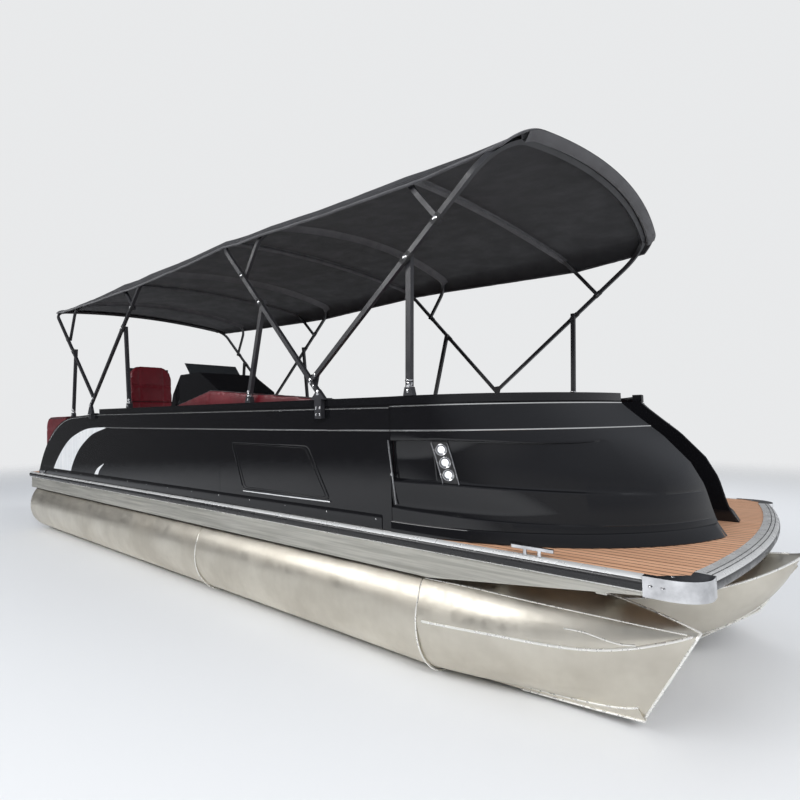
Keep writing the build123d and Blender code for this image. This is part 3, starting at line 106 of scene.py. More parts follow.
def node(tree, kind, inputs=()):
    """Adds a shader node with its inputs filled."""
    return filled(tree.nodes.new(f"ShaderNode{kind}"), dict(inputs))


def calc(tree, operation, a, b=0.0):
    """A Math node on sockets or numbers, given back as its output."""
    sum_of = node(tree, "Math")
    sum_of.operation = operation
    return filled(sum_of, {0: a, 1: b}).outputs[0]


def coordinates(tree):
    """Object coordinates as a vector and as x, y and z."""
    spot = node(tree, "TexCoord").outputs["Object"]
    return spot, *node(tree, "SeparateXYZ", {"Vector": spot}).outputs


def ranged(tree, value, low, high, to_low=0.0, to_high=1.0, kind="SMOOTHSTEP"):
    """A value spread from one range to another, with a smooth step unless another kind is named."""
    ends = {"From Min": low, "From Max": high, "To Min": to_low, "To Max": to_high}
    spread = node(tree, "MapRange")
    spread.interpolation_type = kind
    return filled(spread, {"Value": value, **ends}).outputs["Result"]


def two_tone(tree, factor, first, second, blend="MIX"):
    """A colour that goes from first to second with a factor. Each is a colour or a socket."""
    first, second = ((*c, 1) if isinstance(c, tuple) else c for c in (first, second))
    mix = node(tree, "Mix")
    mix.data_type, mix.blend_type = "RGBA", blend
    return filled(mix, {"A": first, "B": second, "Factor": factor}).outputs["Result"]


def use(tree, group, *values):
    """Places a node group with its inputs set in order, and gives back its output."""
    placed = node(tree, "Group")
    placed.node_tree = group
    return filled(placed, dict(enumerate(values))).outputs[0]


def bumped(tree, shader, height, strength, distance):
    """Feeds a height to the shader's normal."""
    bump = node(tree, "Bump", {"Height": height, "Strength": strength, "Distance": distance})
    tree.links.new(bump.outputs["Normal"], shader.inputs["Normal"])


# %% Blotches, grain, pebbles and weave
def new_group(name, output, **inputs):
    """A node group with named float inputs and one float output, and the sockets at its two ends."""
    group = bpy.data.node_groups.new(name, "ShaderNodeTree")
    for label, value in inputs.items():
        group.interface.new_socket(label, in_out="INPUT", socket_type="NodeSocketFloat").default_value = value
    group.interface.new_socket(output, in_out="OUTPUT", socket_type="NodeSocketFloat")
    return group, group.nodes.new("NodeGroupInput").outputs, group.nodes.new("NodeGroupOutput").inputs[output]


def noise_group(name, scale, stretch, detail):
    """A group that gives noise at a Scale, spread from Low to High."""
    group, given, out = new_group(name, "Value", Scale=scale, Low=0.0, High=1.0)
    vector = node(group, "Mapping", {"Vector": coordinates(group)[0], "Scale": stretch}).outputs["Vector"]
    settings = {"Vector": vector, "Scale": given["Scale"], "Detail": detail, "Roughness": 0.6}
    cloud = node(group, "TexNoise", settings).outputs["Fac"]
    group.links.new(ranged(group, cloud, 0.35, 0.65, given["Low"], given["High"], "LINEAR"), out)
    return group


blotches = noise_group("blotches", 2.0, (1, 1, 1), 4.0)
grain = noise_group("grain along the boat", 60.0, (0.03, 1, 1), 3.0)
streaks = noise_group("streaks down the side", 30.0, (1, 1, 0.06), 3.0)

pebbles, given, out = new_group("pebbles", "Height", Scale=300.0)
cells = node(pebbles, "TexVoronoi")
cells.feature = "SMOOTH_F1"
filled(cells, {"Vector": coordinates(pebbles)[0], "Scale": given["Scale"]})
pebbles.links.new(cells.outputs["Distance"], out)

weave, given, out = new_group("weave", "Height", Pitch=0.002)
vector, x, y, z = coordinates(weave)
turns = calc(weave, "DIVIDE", 2 * pi, given["Pitch"])
warp = calc(weave, "SINE", calc(weave, "MULTIPLY", x, turns))
weft = calc(weave, "SINE", calc(weave, "MULTIPLY", calc(weave, "ADD", y, z), turns))
weave.links.new(calc(weave, "MULTIPLY", warp, weft), out)
print("effects:", [g.name for g in (blotches, grain, streaks, pebbles, weave)])

# %% [markdown]
# ## Finishes
#
# One function makes a Principled material. Most finishes have a roughness that drifts in blotches, two
# tones mixed by one of the effects, and a fine bump from another. The rest is added one by one.


# %% The plain finish
def finish(name, color, roughness, metallic=0.0, rough=None, tones=None, bump=None, **sockets):
    """A material, its tree and its shader.

    rough is the scale, low and high of the roughness's blotches; tones is a group, its scale and two colours;
    bump is a group, its scale, a strength and a distance.
    """
    material = bpy.data.materials.new(name)
    material.use_nodes = True
    tree = material.node_tree
    shader = tree.nodes["Principled BSDF"]
    sockets = {"Base_Color": (*color, 1), "Roughness": roughness, "Metallic": metallic, **sockets}
    for label, value in sockets.items():
        shader.inputs[label.replace("_", " ")].default_value = value
    if rough:
        tree.links.new(use(tree, blotches, *rough), shader.inputs["Roughness"])
    if tones:
        group, scale, first, second = tones
        tree.links.new(two_tone(tree, use(tree, group, scale), first, second), shader.inputs["Base Color"])
    if bump:
        group, scale, strength, distance = bump
        bumped(tree, shader, use(tree, group, scale), strength, distance)
    return material, tree, shader


# %% Metals
tube_metal, tree, shader = finish(
    "tube_aluminium", (0.66, 0.63, 0.57), 0.3, 1.0,
    tones=(blotches, 2.2, (0.73, 0.69, 0.605), (0.58, 0.54, 0.465)), bump=(grain, 90.0, 0.06, 0.001),
)
drift = calc(tree, "ADD", use(tree, blotches, 2.3, 0.30, 0.42), use(tree, streaks, 30.0, 0.0, 0.08))
tree.links.new(drift, shader.inputs["Roughness"])
bright_metal = finish(
    "polished_aluminium", (0.88, 0.88, 0.87), 0.16, 1.0, rough=(3.0, 0.10, 0.22), bump=(grain, 150.0, 0.06, 0.001)
)[0]
mill_metal = finish(
    "mill_finish_aluminium", (0.50, 0.49, 0.46), 0.45, 1.0, rough=(2.0, 0.38, 0.55),
    tones=(grain, 55.0, (0.60, 0.585, 0.53), (0.40, 0.39, 0.35)), bump=(grain, 120.0, 0.25, 0.001),
)[0]
stainless = finish(
    "polished_stainless", (0.60, 0.60, 0.61), 0.10, 1.0, rough=(5.0, 0.05, 0.15),
    tones=(blotches, 14.0, (0.68, 0.68, 0.69), (0.46, 0.46, 0.47)),
)[0]
weld_metal = finish(
    "weld_bead", (0.88, 0.87, 0.83), 0.3, 0.7, rough=(40.0, 0.2, 0.45), bump=(blotches, 60.0, 0.12, 0.001)
)[0]
iron = finish("cast_iron", (0.08, 0.08, 0.08), 0.6, 0.8, bump=(pebbles, 200.0, 0.5, 0.001))[0]

# %% Blacks and greys
gelcoat = finish(
    "gloss_black", (0.005, 0.005, 0.006), 0.05, rough=(7.0, 0.03, 0.09), bump=(blotches, 1.1, 0.035, 0.01),
    Coat_Weight=0.12, Coat_Roughness=0.03, Specular_IOR_Level=0.34,
)[0]
satin_black = finish(
    "satin_black_tube", (0.020, 0.020, 0.023), 0.38, rough=(8.0, 0.28, 0.44), bump=(pebbles, 900.0, 0.06, 0.0005)
)[0]
trim_black = finish(
    "moulded_black", (0.018, 0.018, 0.019), 0.6, rough=(60.0, 0.48, 0.68), bump=(pebbles, 420.0, 0.25, 0.0008)
)[0]
motor_black = finish(
    "motor_paint", (0.012, 0.012, 0.014), 0.22, rough=(3.0, 0.14, 0.28), bump=(pebbles, 700.0, 0.05, 0.0004),
    Coat_Weight=0.6, Coat_Roughness=0.06,
)[0]
rubber = finish("black_rubber", (0.012, 0.012, 0.012), 0.55, rough=(30.0, 0.45, 0.65))[0]
base_grey = finish(
    "moulded_base", (0.06, 0.06, 0.065), 0.5, rough=(40.0, 0.42, 0.6), bump=(pebbles, 350.0, 0.3, 0.0008)
)[0]

# %% Deck, glass and lenses
plank_pitch, seam_half = 0.0515, 0.075
planks, tree, shader = finish("planked_flooring", (0.50, 0.26, 0.15), 0.6, rough=(2.5, 0.45, 0.62))
plank = calc(tree, "DIVIDE", coordinates(tree)[2], plank_pitch)
off_middle = calc(tree, "ABSOLUTE", calc(tree, "SUBTRACT", calc(tree, "FRACT", plank), 0.5))
seam = calc(tree, "LESS_THAN", off_middle, seam_half)
row_tone = calc(tree, "FRACT", calc(tree, "MULTIPLY", calc(tree, "FLOOR", plank), 0.6180))
wood = two_tone(tree, use(tree, grain, 70.0), (0.74, 0.43, 0.27), (0.58, 0.32, 0.19))
wood = two_tone(tree, calc(tree, "MULTIPLY", row_tone, 0.45), wood, (0.50, 0.27, 0.16))
tree.links.new(two_tone(tree, seam, wood, (0.040, 0.026, 0.020)), shader.inputs["Base Color"])
relief = calc(tree, "SUBTRACT", calc(tree, "MULTIPLY", use(tree, grain, 140.0), 0.3), seam)
bumped(tree, shader, relief, 0.5, 0.001)

plywood = finish(
    "sealed_plywood", (0.20, 0.13, 0.08), 0.7,
    tones=(grain, 20.0, (0.24, 0.16, 0.10), (0.14, 0.09, 0.06)), bump=(grain, 60.0, 0.3, 0.001),
)[0]
smoked = finish(
    "smoked_acrylic", (0.10, 0.11, 0.12), 0.04, rough=(9.0, 0.02, 0.08), Transmission_Weight=0.9, IOR=1.49
)[0]
lens = finish(
    "lamp_lens", (0.95, 0.96, 0.98), 0.06, bump=(pebbles, 260.0, 0.6, 0.001),
    Emission_Strength=0.35, Emission_Color=(0.9, 0.95, 1.0, 1),
)[0]

# %% Vinyl, piping, canvas and film
vinyl, tree, shader = finish(
    "burgundy_vinyl", (0.105, 0.008, 0.014), 0.42, rough=(14.0, 0.34, 0.50),
    tones=(blotches, 3.0, (0.120, 0.006, 0.012), (0.080, 0.004, 0.008)), Sheen_Weight=0.03, Coat_Weight=0.05,
)
hide = calc(tree, "ADD", use(tree, pebbles, 520.0), calc(tree, "MULTIPLY", use(tree, blotches, 22.0), 1.5))
bumped(tree, shader, hide, 0.22, 0.0010)
piping_look = finish(
    "piping", (0.016, 0.014, 0.015), 0.40, rough=(60.0, 0.34, 0.5), bump=(pebbles, 900.0, 0.2, 0.0005)
)[0]
canvas = finish(
    "black_canvas", (0.020, 0.020, 0.024), 0.85, rough=(6.0, 0.72, 0.92), bump=(weave, 0.0016, 0.3, 0.0006),
    tones=(blotches, 1.8, (0.019, 0.019, 0.022), (0.010, 0.010, 0.012)), Sheen_Weight=0.06,
)[0]
hem_cloth = finish(
    "canvas_binding", (0.060, 0.060, 0.066), 0.8, bump=(weave, 0.0012, 0.4, 0.0006),
    tones=(blotches, 9.0, (0.075, 0.075, 0.082), (0.045, 0.045, 0.050)), Sheen_Weight=0.3,
)[0]
film = finish(
    "white_film", (0.78, 0.79, 0.80), 0.35, rough=(5.0, 0.26, 0.42),
    tones=(streaks, 22.0, (0.80, 0.81, 0.82), (0.68, 0.70, 0.72)), Coat_Weight=0.3,
)[0]

# %% Finish for each node
finish_of = {
    "tube_alloy": tube_metal, "bright_alloy": bright_metal, "grey_alloy": mill_metal,
    "casting_steel": stainless, "steel": stainless, "engine_iron": iron,
    "gloss_black": gelcoat, "panel_black": gelcoat, "frame_black": satin_black,
    "trim_black": trim_black, "motor_black": motor_black, "moulded_base": base_grey,
    "marine_plywood": plywood, "planking": planks, "light_lens": lens, "smoked_glass": smoked,
    "vinyl_red": vinyl, "canvas": canvas,
}


def painted(label, look):
    """Gives a node one finish."""
    nodes[label].data.materials.clear()
    nodes[label].data.materials.append(look)


for entry in frame["record"]["subparts"]:
    painted(entry["node"], finish_of[entry["material_slot"]])
print("finished", len(nodes), "nodes")

# %% [markdown]
# ## Floor and light
#
# A pale floor and a pale surround stand in for a studio. The floor fades out with distance, so no edge
# shows behind the boat. Gloss black and bare aluminium show what is around them: the surround is light
# ahead of the bow and overhead, and dark abeam, so the sides stay deep black while the bow picks up a
# soft grey sheen.

# %% Floor
fade_from, fade_to = 7, 17
studio = bmesh.new()
bmesh.ops.create_circle(studio, cap_ends=True, segments=96, radius=40)
floor_mesh = bpy.data.meshes.new("floor")
studio.to_mesh(floor_mesh)
studio.free()
floor_piece = bpy.data.objects.new("floor", floor_mesh)
scene.collection.objects.link(floor_piece)

floor_paint, tree, shader = finish("floor paint", (0.80, 0.81, 0.82), 0.9)
length = node(tree, "VectorMath", {0: coordinates(tree)[0]})
length.operation = "LENGTH"
tree.links.new(ranged(tree, length.outputs["Value"], fade_from, fade_to, 1, 0), shader.inputs["Alpha"])
floor_mesh.materials.append(floor_paint)

# %% Surround
world = bpy.data.worlds.new("surround")
scene.world = world
world.use_nodes = True
tree = world.node_tree
tree.nodes.clear()
way_x, way_y, way_z = node(tree, "SeparateXYZ", {"Vector": node(tree, "TexCoord").outputs["Generated"]}).outputs
by_height = node(tree, "ValToRGB", {"Fac": way_z})
stops = by_height.color_ramp.elements
stops[0].position, stops[0].color = 0.0, (0.62, 0.63, 0.65, 1)
stops[1].position, stops[1].color = 0.85, (0.60, 0.63, 0.68, 1)
stops.new(0.30).color = (0.42, 0.44, 0.48, 1)
lit_ahead = ranged(tree, way_x, -0.05, 0.60, 0.22, 1.0)
lit_above = ranged(tree, way_z, 0.25, 0.75, kind="LINEAR")
lit = calc(tree, "MAXIMUM", lit_ahead, lit_above)
dimmed = two_tone(tree, 1.0, by_height.outputs["Color"], lit, "MULTIPLY")
seen = two_tone(tree, node(tree, "LightPath").outputs["Is Camera Ray"], dimmed, (0.90, 0.91, 0.92))
light_out = node(tree, "Background", {"Color": seen, "Strength": 0.9})
node(tree, "OutputWorld", {"Surface": light_out.outputs["Background"]})


# %% Lamps
def softbox(name, place, target, size, power, mirrored=True):
    """A large rectangular lamp at place that faces target. Shiny surfaces show it only if mirrored."""
    lamp = bpy.data.lights.new(name, "AREA")
    lamp.shape = "RECTANGLE"
    lamp.size, lamp.size_y = size
    lamp.energy = power
    holder = bpy.data.objects.new(name, lamp)
    aim = Vector(target) - Vector(place)
    holder.matrix_world = Matrix.Translation(place) @ aim.to_track_quat("-Z", "Y").to_matrix().to_4x4()
    holder.visible_glossy = mirrored
    scene.collection.objects.link(holder)
    print(name, power, "W")


softbox("bow softbox", (9, -7, 6.5), (1.5, 0, 0.8), (5, 3), 750, mirrored=False)
softbox("side softbox", (-2, -10, 6), (-0.5, 0, 1.0), (12, 1.6), 650)
softbox("port softbox", (2, 9, 7), (0, 0, 1.2), (9, 4), 450, mirrored=False)
scene.view_settings.view_transform = "Standard"

# %% [markdown]
# ## Shape tools
#
# Most of the boat's details are one of a few things: a grid laid over a curved surface, a strip or cord
# that follows a line, a bolt head, or a bevelled block. One small function makes each of them, so the
# later steps only say where things are.


# %% Pieces
def at(x, y, z):
    """A point from its distance ahead of the deck's aft edge, to port and above the deck."""
    return Vector((deck_aft + x, y, deck_top + z))


def keep(name, form, look, body="boat", stands_for=(), crease=35):
    """Makes a piece of the boat from a bmesh, with one finish, riding on a body."""
    bmesh.ops.remove_doubles(form, verts=form.verts, dist=1e-5)
    bmesh.ops.recalc_face_normals(form, faces=form.faces)
    mesh = bpy.data.meshes.new(name)
    form.to_mesh(mesh)
    form.free()
    mesh.materials.append(look)
    mesh.polygons.foreach_set("use_smooth", [True] * len(mesh.polygons))
    mesh.set_sharp_from_angle(angle=radians(crease))
    piece = bpy.data.objects.new(name, mesh)
    scene.collection.objects.link(piece)
    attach(piece, body)
    if stands_for:
        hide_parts(*stands_for)
    print(name, "has", len(mesh.polygons), "faces")
    return piece


def solid_of(label, gap=1e-5):
    """A node's solid as a form, with its doubles merged."""
    form = bmesh.new()
    form.from_mesh(nodes[label].data)
    bmesh.ops.remove_doubles(form, verts=form.verts, dist=gap)
    return form


def all_of(form):
    return form.verts[:] + form.edges[:] + form.faces[:]


def laid(form, columns, rows, place):
    """A grid of quads whose corners go where place(u, v) says, with u and v from 0 to 1."""
    for corner in bmesh.ops.create_grid(form, x_segments=columns, y_segments=rows, size=0.5)["verts"]:
        corner.co = place(corner.co.x + 0.5, corner.co.y + 0.5)


def mirrored(form):
    """Adds the same form on the other side of the boat."""
    bmesh.ops.mirror(form, geom=all_of(form), axis="Y", merge_dist=-1)


def turned(z_axis, origin, x_hint=(0, 0, 1)):
    """A matrix whose z axis points a given way, with its x axis as near to the hint as it can be."""
    z = Vector(z_axis).normalized()
    x = Vector(x_hint) - z * z.dot(Vector(x_hint))
    x = x.normalized() if x.length > 1e-4 else z.orthogonal().normalized()
    return Matrix.Translation(origin) @ Matrix((x, z.cross(x), z)).transposed().to_4x4()


# %% Rods, blocks and bolts
def rod(form, start, end, radius, sides=16, tip=None):
    """A round bar from start to end with small bevels, or a cone if a tip radius is given."""
    start, end = Vector(start), Vector(end)
    line = end - start
    made = bmesh.ops.create_cone(
        form, cap_ends=True, segments=sides, radius1=radius, radius2=radius if tip is None else tip,
        depth=line.length, matrix=turned(line, (start + end) / 2),
    )["verts"]
    rims = {
        e for v in made for e in v.link_edges
        if len(e.link_faces) == 2 and any(len(f.verts) > 4 for f in e.link_faces)
    }
    offset = min(radius * 0.18, line.length * 0.2)
    bmesh.ops.bevel(form, geom=list(rims), offset=offset, affect="EDGES", segments=2, profile=0.5, material=-1)


def block(form, matrix, size, round_by=0.003, segments=2):
    """A bevelled box of a size, centred on a matrix."""
    made = bmesh.ops.create_cube(form, size=1, matrix=matrix @ Matrix.Diagonal((*size, 1)))["verts"]
    edges = list({e for v in made for e in v.link_edges})
    bmesh.ops.bevel(form, geom=edges, offset=round_by, affect="EDGES", segments=segments, profile=0.5, material=-1)


def bolt(form, place, out, radius, height=None, washer=True):
    """A domed bolt head on a washer, standing out from a surface."""
    out, place = Vector(out).normalized(), Vector(place)
    height = height or radius * 0.7
    if washer:
        rod(form, place - out * 0.001, place + out * height * 0.25, radius * 1.55, 20)
    rod(form, place, place + out * height * 0.75, radius, 16)
    rod(form, place + out * height * 0.7, place + out * height, radius * 0.86, 16, radius * 0.45)


# %% Cords, strips and lines
def line_frames(points, closed=False):
    """Directions along a row of points."""
    last = len(points) - 1
    ways = []
    for i in range(len(points)):
        before = points[i - 1] if closed or i else points[0]
        after = points[(i + 1) % len(points)] if closed or i < last else points[-1]
        ways.append((after - before).normalized())
    return ways


def cable(form, points, radius, sides=10, closed=False):
    """A round cord or bead through a row of points."""
    points = [Vector(p) for p in points]
    ways = line_frames(points, closed)
    side = ways[0].orthogonal().normalized()
    sides_at = []
    for way in ways:
        side = (side - way * side.dot(way)).normalized()
        sides_at.append(side.copy())
    spans = len(points) - (0 if closed else 1)

    def place(u, v):
        i = round(u * spans) % len(points)
        across = ways[i].cross(sides_at[i])
        return points[i] + (sides_at[i] * cos(2 * pi * v) + across * sin(2 * pi * v)) * radius

    laid(form, spans, sides, place)
    if not closed:
        for p, way in ((points[0], -ways[0]), (points[-1], ways[-1])):
            rod(form, p - way * radius * 0.2, p + way * radius * 0.35, radius * 0.97, sides, radius * 0.5)


def strip(form, points, outs, width_way, width, thickness, sunk=0.001):
    """A flat band along a row of points: it stands out by thickness and is sunk a little into the surface."""
    shoulder = thickness * 0.6
    corners = (
        (-0.5, -sunk), (-0.5, shoulder), (-0.36, thickness), (0.36, thickness),
        (0.5, shoulder), (0.5, -sunk), (-0.5, -sunk),
    )

    def place(u, v):
        i = round(u * (len(points) - 1))
        across, out = corners[round(v * (len(corners) - 1))]
        way = width_way[i] if isinstance(width_way, list) else width_way
        return points[i] + way * width * across + outs[i] * out

    laid(form, len(points) - 1, len(corners) - 1, place)
    bmesh.ops.holes_fill(form, edges=[e for e in form.edges if e.is_boundary], sides=0)


def ring(place, radius, height, count):
    """Points round a circle that lies on a matrix, at a height over it."""
    turns = [2 * pi * i / count for i in range(count)]
    return [place @ Vector((radius * cos(turn), radius * sin(turn), height)) for turn in turns]


def length_of(points):
    return sum((after - before).length for before, after in zip(points, points[1:]))


def evenly(points, step):
    """Points at even steps along a row."""
    lengths = [0.0]
    for before, after in zip(points, points[1:]):
        lengths.append(lengths[-1] + (after - before).length)
    count = max(3, round(lengths[-1] / step))
    out, j = [], 0
    for i in range(count + 1):
        goal = lengths[-1] * i / count
        while j < len(points) - 2 and lengths[j + 1] < goal:
            j += 1
        span = lengths[j + 1] - lengths[j]
        out.append(points[j].lerp(points[j + 1], (goal - lengths[j]) / span if span else 0))
    return out


def eased_line(points, count):
    """A smooth row of points through a few given ones."""
    points = [Vector(p) for p in points]
    padded = [points[0] * 2 - points[1], *points, points[-1] * 2 - points[-2]]
    row = []
    for i in range(count + 1):
        place = (len(points) - 1) * i / count
        k = min(int(place), len(points) - 2)
        t = place - k
        a, b, c, d = padded[k:k + 4]
        row.append(0.5 * (2 * b + (c - a) * t + (2 * a - 5 * b + 4 * c - d) * t * t + (3 * b - 3 * c + d - a) * t ** 3))
    return row


def round_corners(corners, round_by, steps):
    """A closed outline through flat corners, each rounded in a number of steps."""
    corners = [Vector(corner) for corner in corners]
    line = []
    for i, corner in enumerate(corners):
        back = (corners[i - 1] - corner).normalized() * round_by
        on = (corners[(i + 1) % len(corners)] - corner).normalized() * round_by
        line += [corner + back * (1 - k / steps) ** 2 + on * (k / steps) ** 2 for k in range(steps + 1)]
    return line


def surface_of(*labels):
    """A tree of all the faces of some nodes, for finding points on them."""
    form = bmesh.new()
    for label in labels:
        form.from_mesh(nodes[label].data)
    tree = BVHTree.FromBMesh(form)
    form.free()
    return tree


def between(table, value):
    """A value read from a table of pairs, straight between its rows."""
    if value <= table[0][0]:
        return table[0][1]
    for (x0, y0), (x1, y1) in zip(table, table[1:]):
        if value <= x1:
            return y0 + (y1 - y0) * (value - x0) / (x1 - x0)
    return table[-1][1]


# %% [markdown]
# ## Bow shells
#
# Each shell is one glossy moulding: the side wall turns in and leans back over the bow in ovals that
# shorten with height. Across it run a pinstripe, a lip that overhangs a shallow hollow, two ledges that
# catch the light, and a black plinth at the deck. The shell is laid as a grid whose rows follow those
# lines, because a crease is only sharp where an edge of the mesh runs along it.

# %% The shell's surface
shell_aft, shell_centre, half_beam = 5.9305, 6.0, 1.25
passage, passage_aft, shell_wall = 0.222, 6.45, 0.04
shell_ovals = ((0.0, 1.278), (0.2, 1.205), (0.39, 1.12), (0.56, 0.96), (0.705, 0.808))
shell_height = shell_ovals[-1][0]
straight_share, round_share, full_turn = 0.05, 0.74, 79.8


def shell_reach(z):
    """How far the oval reaches ahead of its centre at a height: the smooth curve through the table."""
    reach = 0
    for i, (zi, value) in enumerate(shell_ovals):
        weight = 1
        for j, (zj, other) in enumerate(shell_ovals):
            if i != j:
                weight *= (z - zj) / (zi - zj)
        reach += weight * value
    return reach


def shell_point(s, z, out=0.0):
    """A point of the starboard shell, moved out by some distance. s runs aft to fore, then into the passage."""
    a, b = shell_reach(min(max(z, 0), shell_height)) + out, half_beam + out
    end = acos(passage / b)
    if s <= straight_share:
        return at(shell_aft + (shell_centre - shell_aft) * s / straight_share, -b, z)
    if s <= round_share:
        turn = end * (s - straight_share) / (round_share - straight_share)
        return at(shell_centre + a * sin(turn), -b * cos(turn), z)
    share = (s - round_share) / (1 - round_share)
    front = shell_centre + a * sin(end)
    return at(front + (passage_aft - front) * share, -passage + min(out, 0), z)


# %% Lines on the shell, by angle round the oval in degrees
upper_lip = ((-10, 0.503), (12, 0.510), (25, 0.502), (38, 0.490), (48, 0.489), (59, 0.502), (80, 0.51))
middle_ledge = (
    (-10, 0.283), (12, 0.282), (25, 0.269), (37, 0.256), (46, 0.246), (55, 0.238), (64, 0.229), (80, 0.222)
)
lower_ledge = ((-10, 0.142), (10, 0.126), (23, 0.109), (37, 0.100), (44, 0.095), (80, 0.09))
hollow_depth = ((-10, 0.022), (30, 0.024), (46, 0.016), (57, 0.0), (80, 0))
ledge_depth = ((-10, 0.020), (14, 0.024), (40, 0.026), (54, 0.014), (64, 0.0), (80, 0))
lower_depth = ((-10, 0.010), (0, 0.014), (24, 0.014), (38, 0.006), (46, 0.0), (80, 0))
pocket_depth = ((-10, 0.028), (9.6, 0.028), (10.2, 0.0), (80, 0))
lines_end = (76, 79.5)


def shell_rows(turn):
    """Height and outward shift of each line of the shell at an angle, from the deck up."""
    lip, ledge, low = (between(line, turn) for line in (upper_lip, middle_ledge, lower_ledge))
    hollow, shelf, step = (between(depth, turn) for depth in (hollow_depth, ledge_depth, lower_depth))
    hollow = max(hollow, between(pocket_depth, turn))
    return (
        (0.0, 0.010), (0.004, 0.014), (0.056, 0.014), (0.062, 0.011), (0.064, 0.0),
        (low - 0.004, 0.0), (low, -0.001 - step * 0.1), (low + 0.003, -step * 0.85), (low + 0.010, -step),
        (low + 0.35 * (ledge - low), -step * 0.45), (ledge - 0.006, 0.0), (ledge, -0.002 - shelf * 0.05),
        (ledge + 0.006, -shelf * 0.8), (ledge + 0.014, -max(shelf, hollow)),
        (ledge + 0.04, -max(hollow, shelf * 0.95)), (0.5 * (ledge + lip), -hollow),
        (lip - 0.010, -hollow), (lip - 0.004, -hollow * 0.9), (lip, -hollow * 0.10), (lip + 0.004, 0.0),
        (lip + 0.012, 0.001), (0.60, 0.0), (0.66, 0.0), (shell_height, 0.0),
    )


def shell_skin(form, inner):
    """The outer skin, with its lines, or the plain inner skin."""
    levels = len(shell_rows(0)) - 1

    def place(s, v):
        turn = full_turn * (s - straight_share) / (round_share - straight_share)
        if inner or s > round_share:
            return shell_point(s, shell_rows(79)[round(v * levels)][0], -shell_wall if inner else 0.0)
        z, out = shell_rows(turn)[round(v * levels)]
        share = min(max((turn - lines_end[0]) / (lines_end[1] - lines_end[0]), 0), 1)
        return shell_point(s, z, out * (1 - share * share * (3 - 2 * share)))

    laid(form, 260, levels, lambda u, v: place(min(u, 1.0), v))


for side, label in ((-1, "starboard"), (1, "port")):
    form = bmesh.new()
    shell_skin(form, False)
    shell_skin(form, True)
    bmesh.ops.bridge_loops(form, edges=[e for e in form.edges if e.is_boundary])
    if side > 0:
        bmesh.ops.scale(form, vec=(1, -1, 1), verts=form.verts)
    keep(f"bow_shell_{label}", form, gelcoat, stands_for=("bow_shells",), crease=28)

# %% [markdown]
# The pinstripe, the bright line under the cap, the docking lights and the chrome seam at the wall are
# separate parts on the real boat: tape, an extruded trim, and a lamp cluster in a chrome bezel.

# %% Shell trims
form = bmesh.new()
shares = [(round_share - 0.002) * i / 70 for i in range(71)]
for z, width, thickness in ((0.560, 0.006, 0.0015), (0.694, 0.007, 0.003)):
    outs = [
        (shell_point(min(s + 0.002, round_share), z) - shell_point(max(s - 0.002, 0), z)).cross(up_way).normalized()
        for s in shares
    ]
    strip(form, [shell_point(s, z) for s in shares], outs, up_way, width, thickness)
mirrored(form)
keep("shell_pinstripes", form, bright_metal)

# %% Docking lights
lamp_turns = ((0.459, 12.2), (0.393, 12.6), (0.330, 13.0))
bezel_low, bezel_high, bezel_width = 0.278, 0.498, 0.082
chrome, glow, black = bmesh.new(), bmesh.new(), bmesh.new()


def on_shell(turn, z):
    """A point on the shell at an angle, the outward direction there and the way along the shell."""
    s = straight_share + (round_share - straight_share) * turn / full_turn
    way = (shell_point(s + 0.003, z) - shell_point(s - 0.003, z)).normalized()
    return shell_point(s, z), way.cross(up_way).normalized(), way


def bezel_side(z):
    """The middle of the bezel at a height. It leans with the row of lamps."""
    return on_shell(12.2 + (0.459 - z) * 6.2, z)


def bezel(u, v):
    """A point of the black plate behind the lamps."""
    place, outward, way = bezel_side(bezel_low + (bezel_high - bezel_low) * v)
    return place + way * (u - 0.5) * bezel_width + outward * (-0.020 + 0.004 * sin(pi * u))


laid(black, 6, 12, bezel)
bmesh.ops.solidify(black, geom=black.faces[:], thickness=0.008)
rim = [bezel_side(z) for z in [0.280 + 0.0215 * i for i in range(11)]]
for shift in (-bezel_width / 2, bezel_width / 2):
    cable(chrome, [place + way * shift + outward * -0.014 for place, outward, way in rim], 0.0032, 8)
for z, turn in lamp_turns:
    place, outward, way = on_shell(turn, z)
    place = place + outward * -0.018
    for radius, thick, depth in ((0.0285, 0.0035, 0.004), (0.021, 0.002, 0.005)):
        cable(chrome, ring(turned(outward, place, way), radius, depth, 28), thick, 8, closed=True)
    rod(chrome, place - outward * 0.002, place + outward * 0.003, 0.028, 28)
    rod(glow, place + outward * 0.002, place + outward * 0.0075, 0.0195, 28, 0.015)
for form in (black, chrome, glow):
    mirrored(form)
keep("docking_light_bezels", black, trim_black)
keep("docking_light_rims", chrome, stainless)
keep("docking_light_lenses", glow, lens, stands_for=("docking_lights",))

# %% Chrome seam between wall and shell
form = bmesh.new()
levels = [0.155 + 0.035 * i for i in range(11)]
cable(form, [at(5.914 + 0.045 * (0.505 - z) / 0.35, -half_beam - 0.0015, z) for z in levels], 0.0042, 8)
bolt(form, at(5.934, -half_beam - 0.001, 0.319), starboard, 0.006)
mirrored(form)
keep("shell_seam_trims", form, stainless)

# %% [markdown]
# ## Upholstery
#
# A boat cushion is a block of foam on a board, in a vinyl cover that is cut in flat panels and sewn along
# its edges over a cord. The foam pushes each panel out into a low crown and the seams hold it back. Cloth
# does the same here: every cushion is copied from its plain block, made a little smaller, meshed evenly,
# and blown up with its seams pinned. The move is limited, so that no cushion grows out of its place.


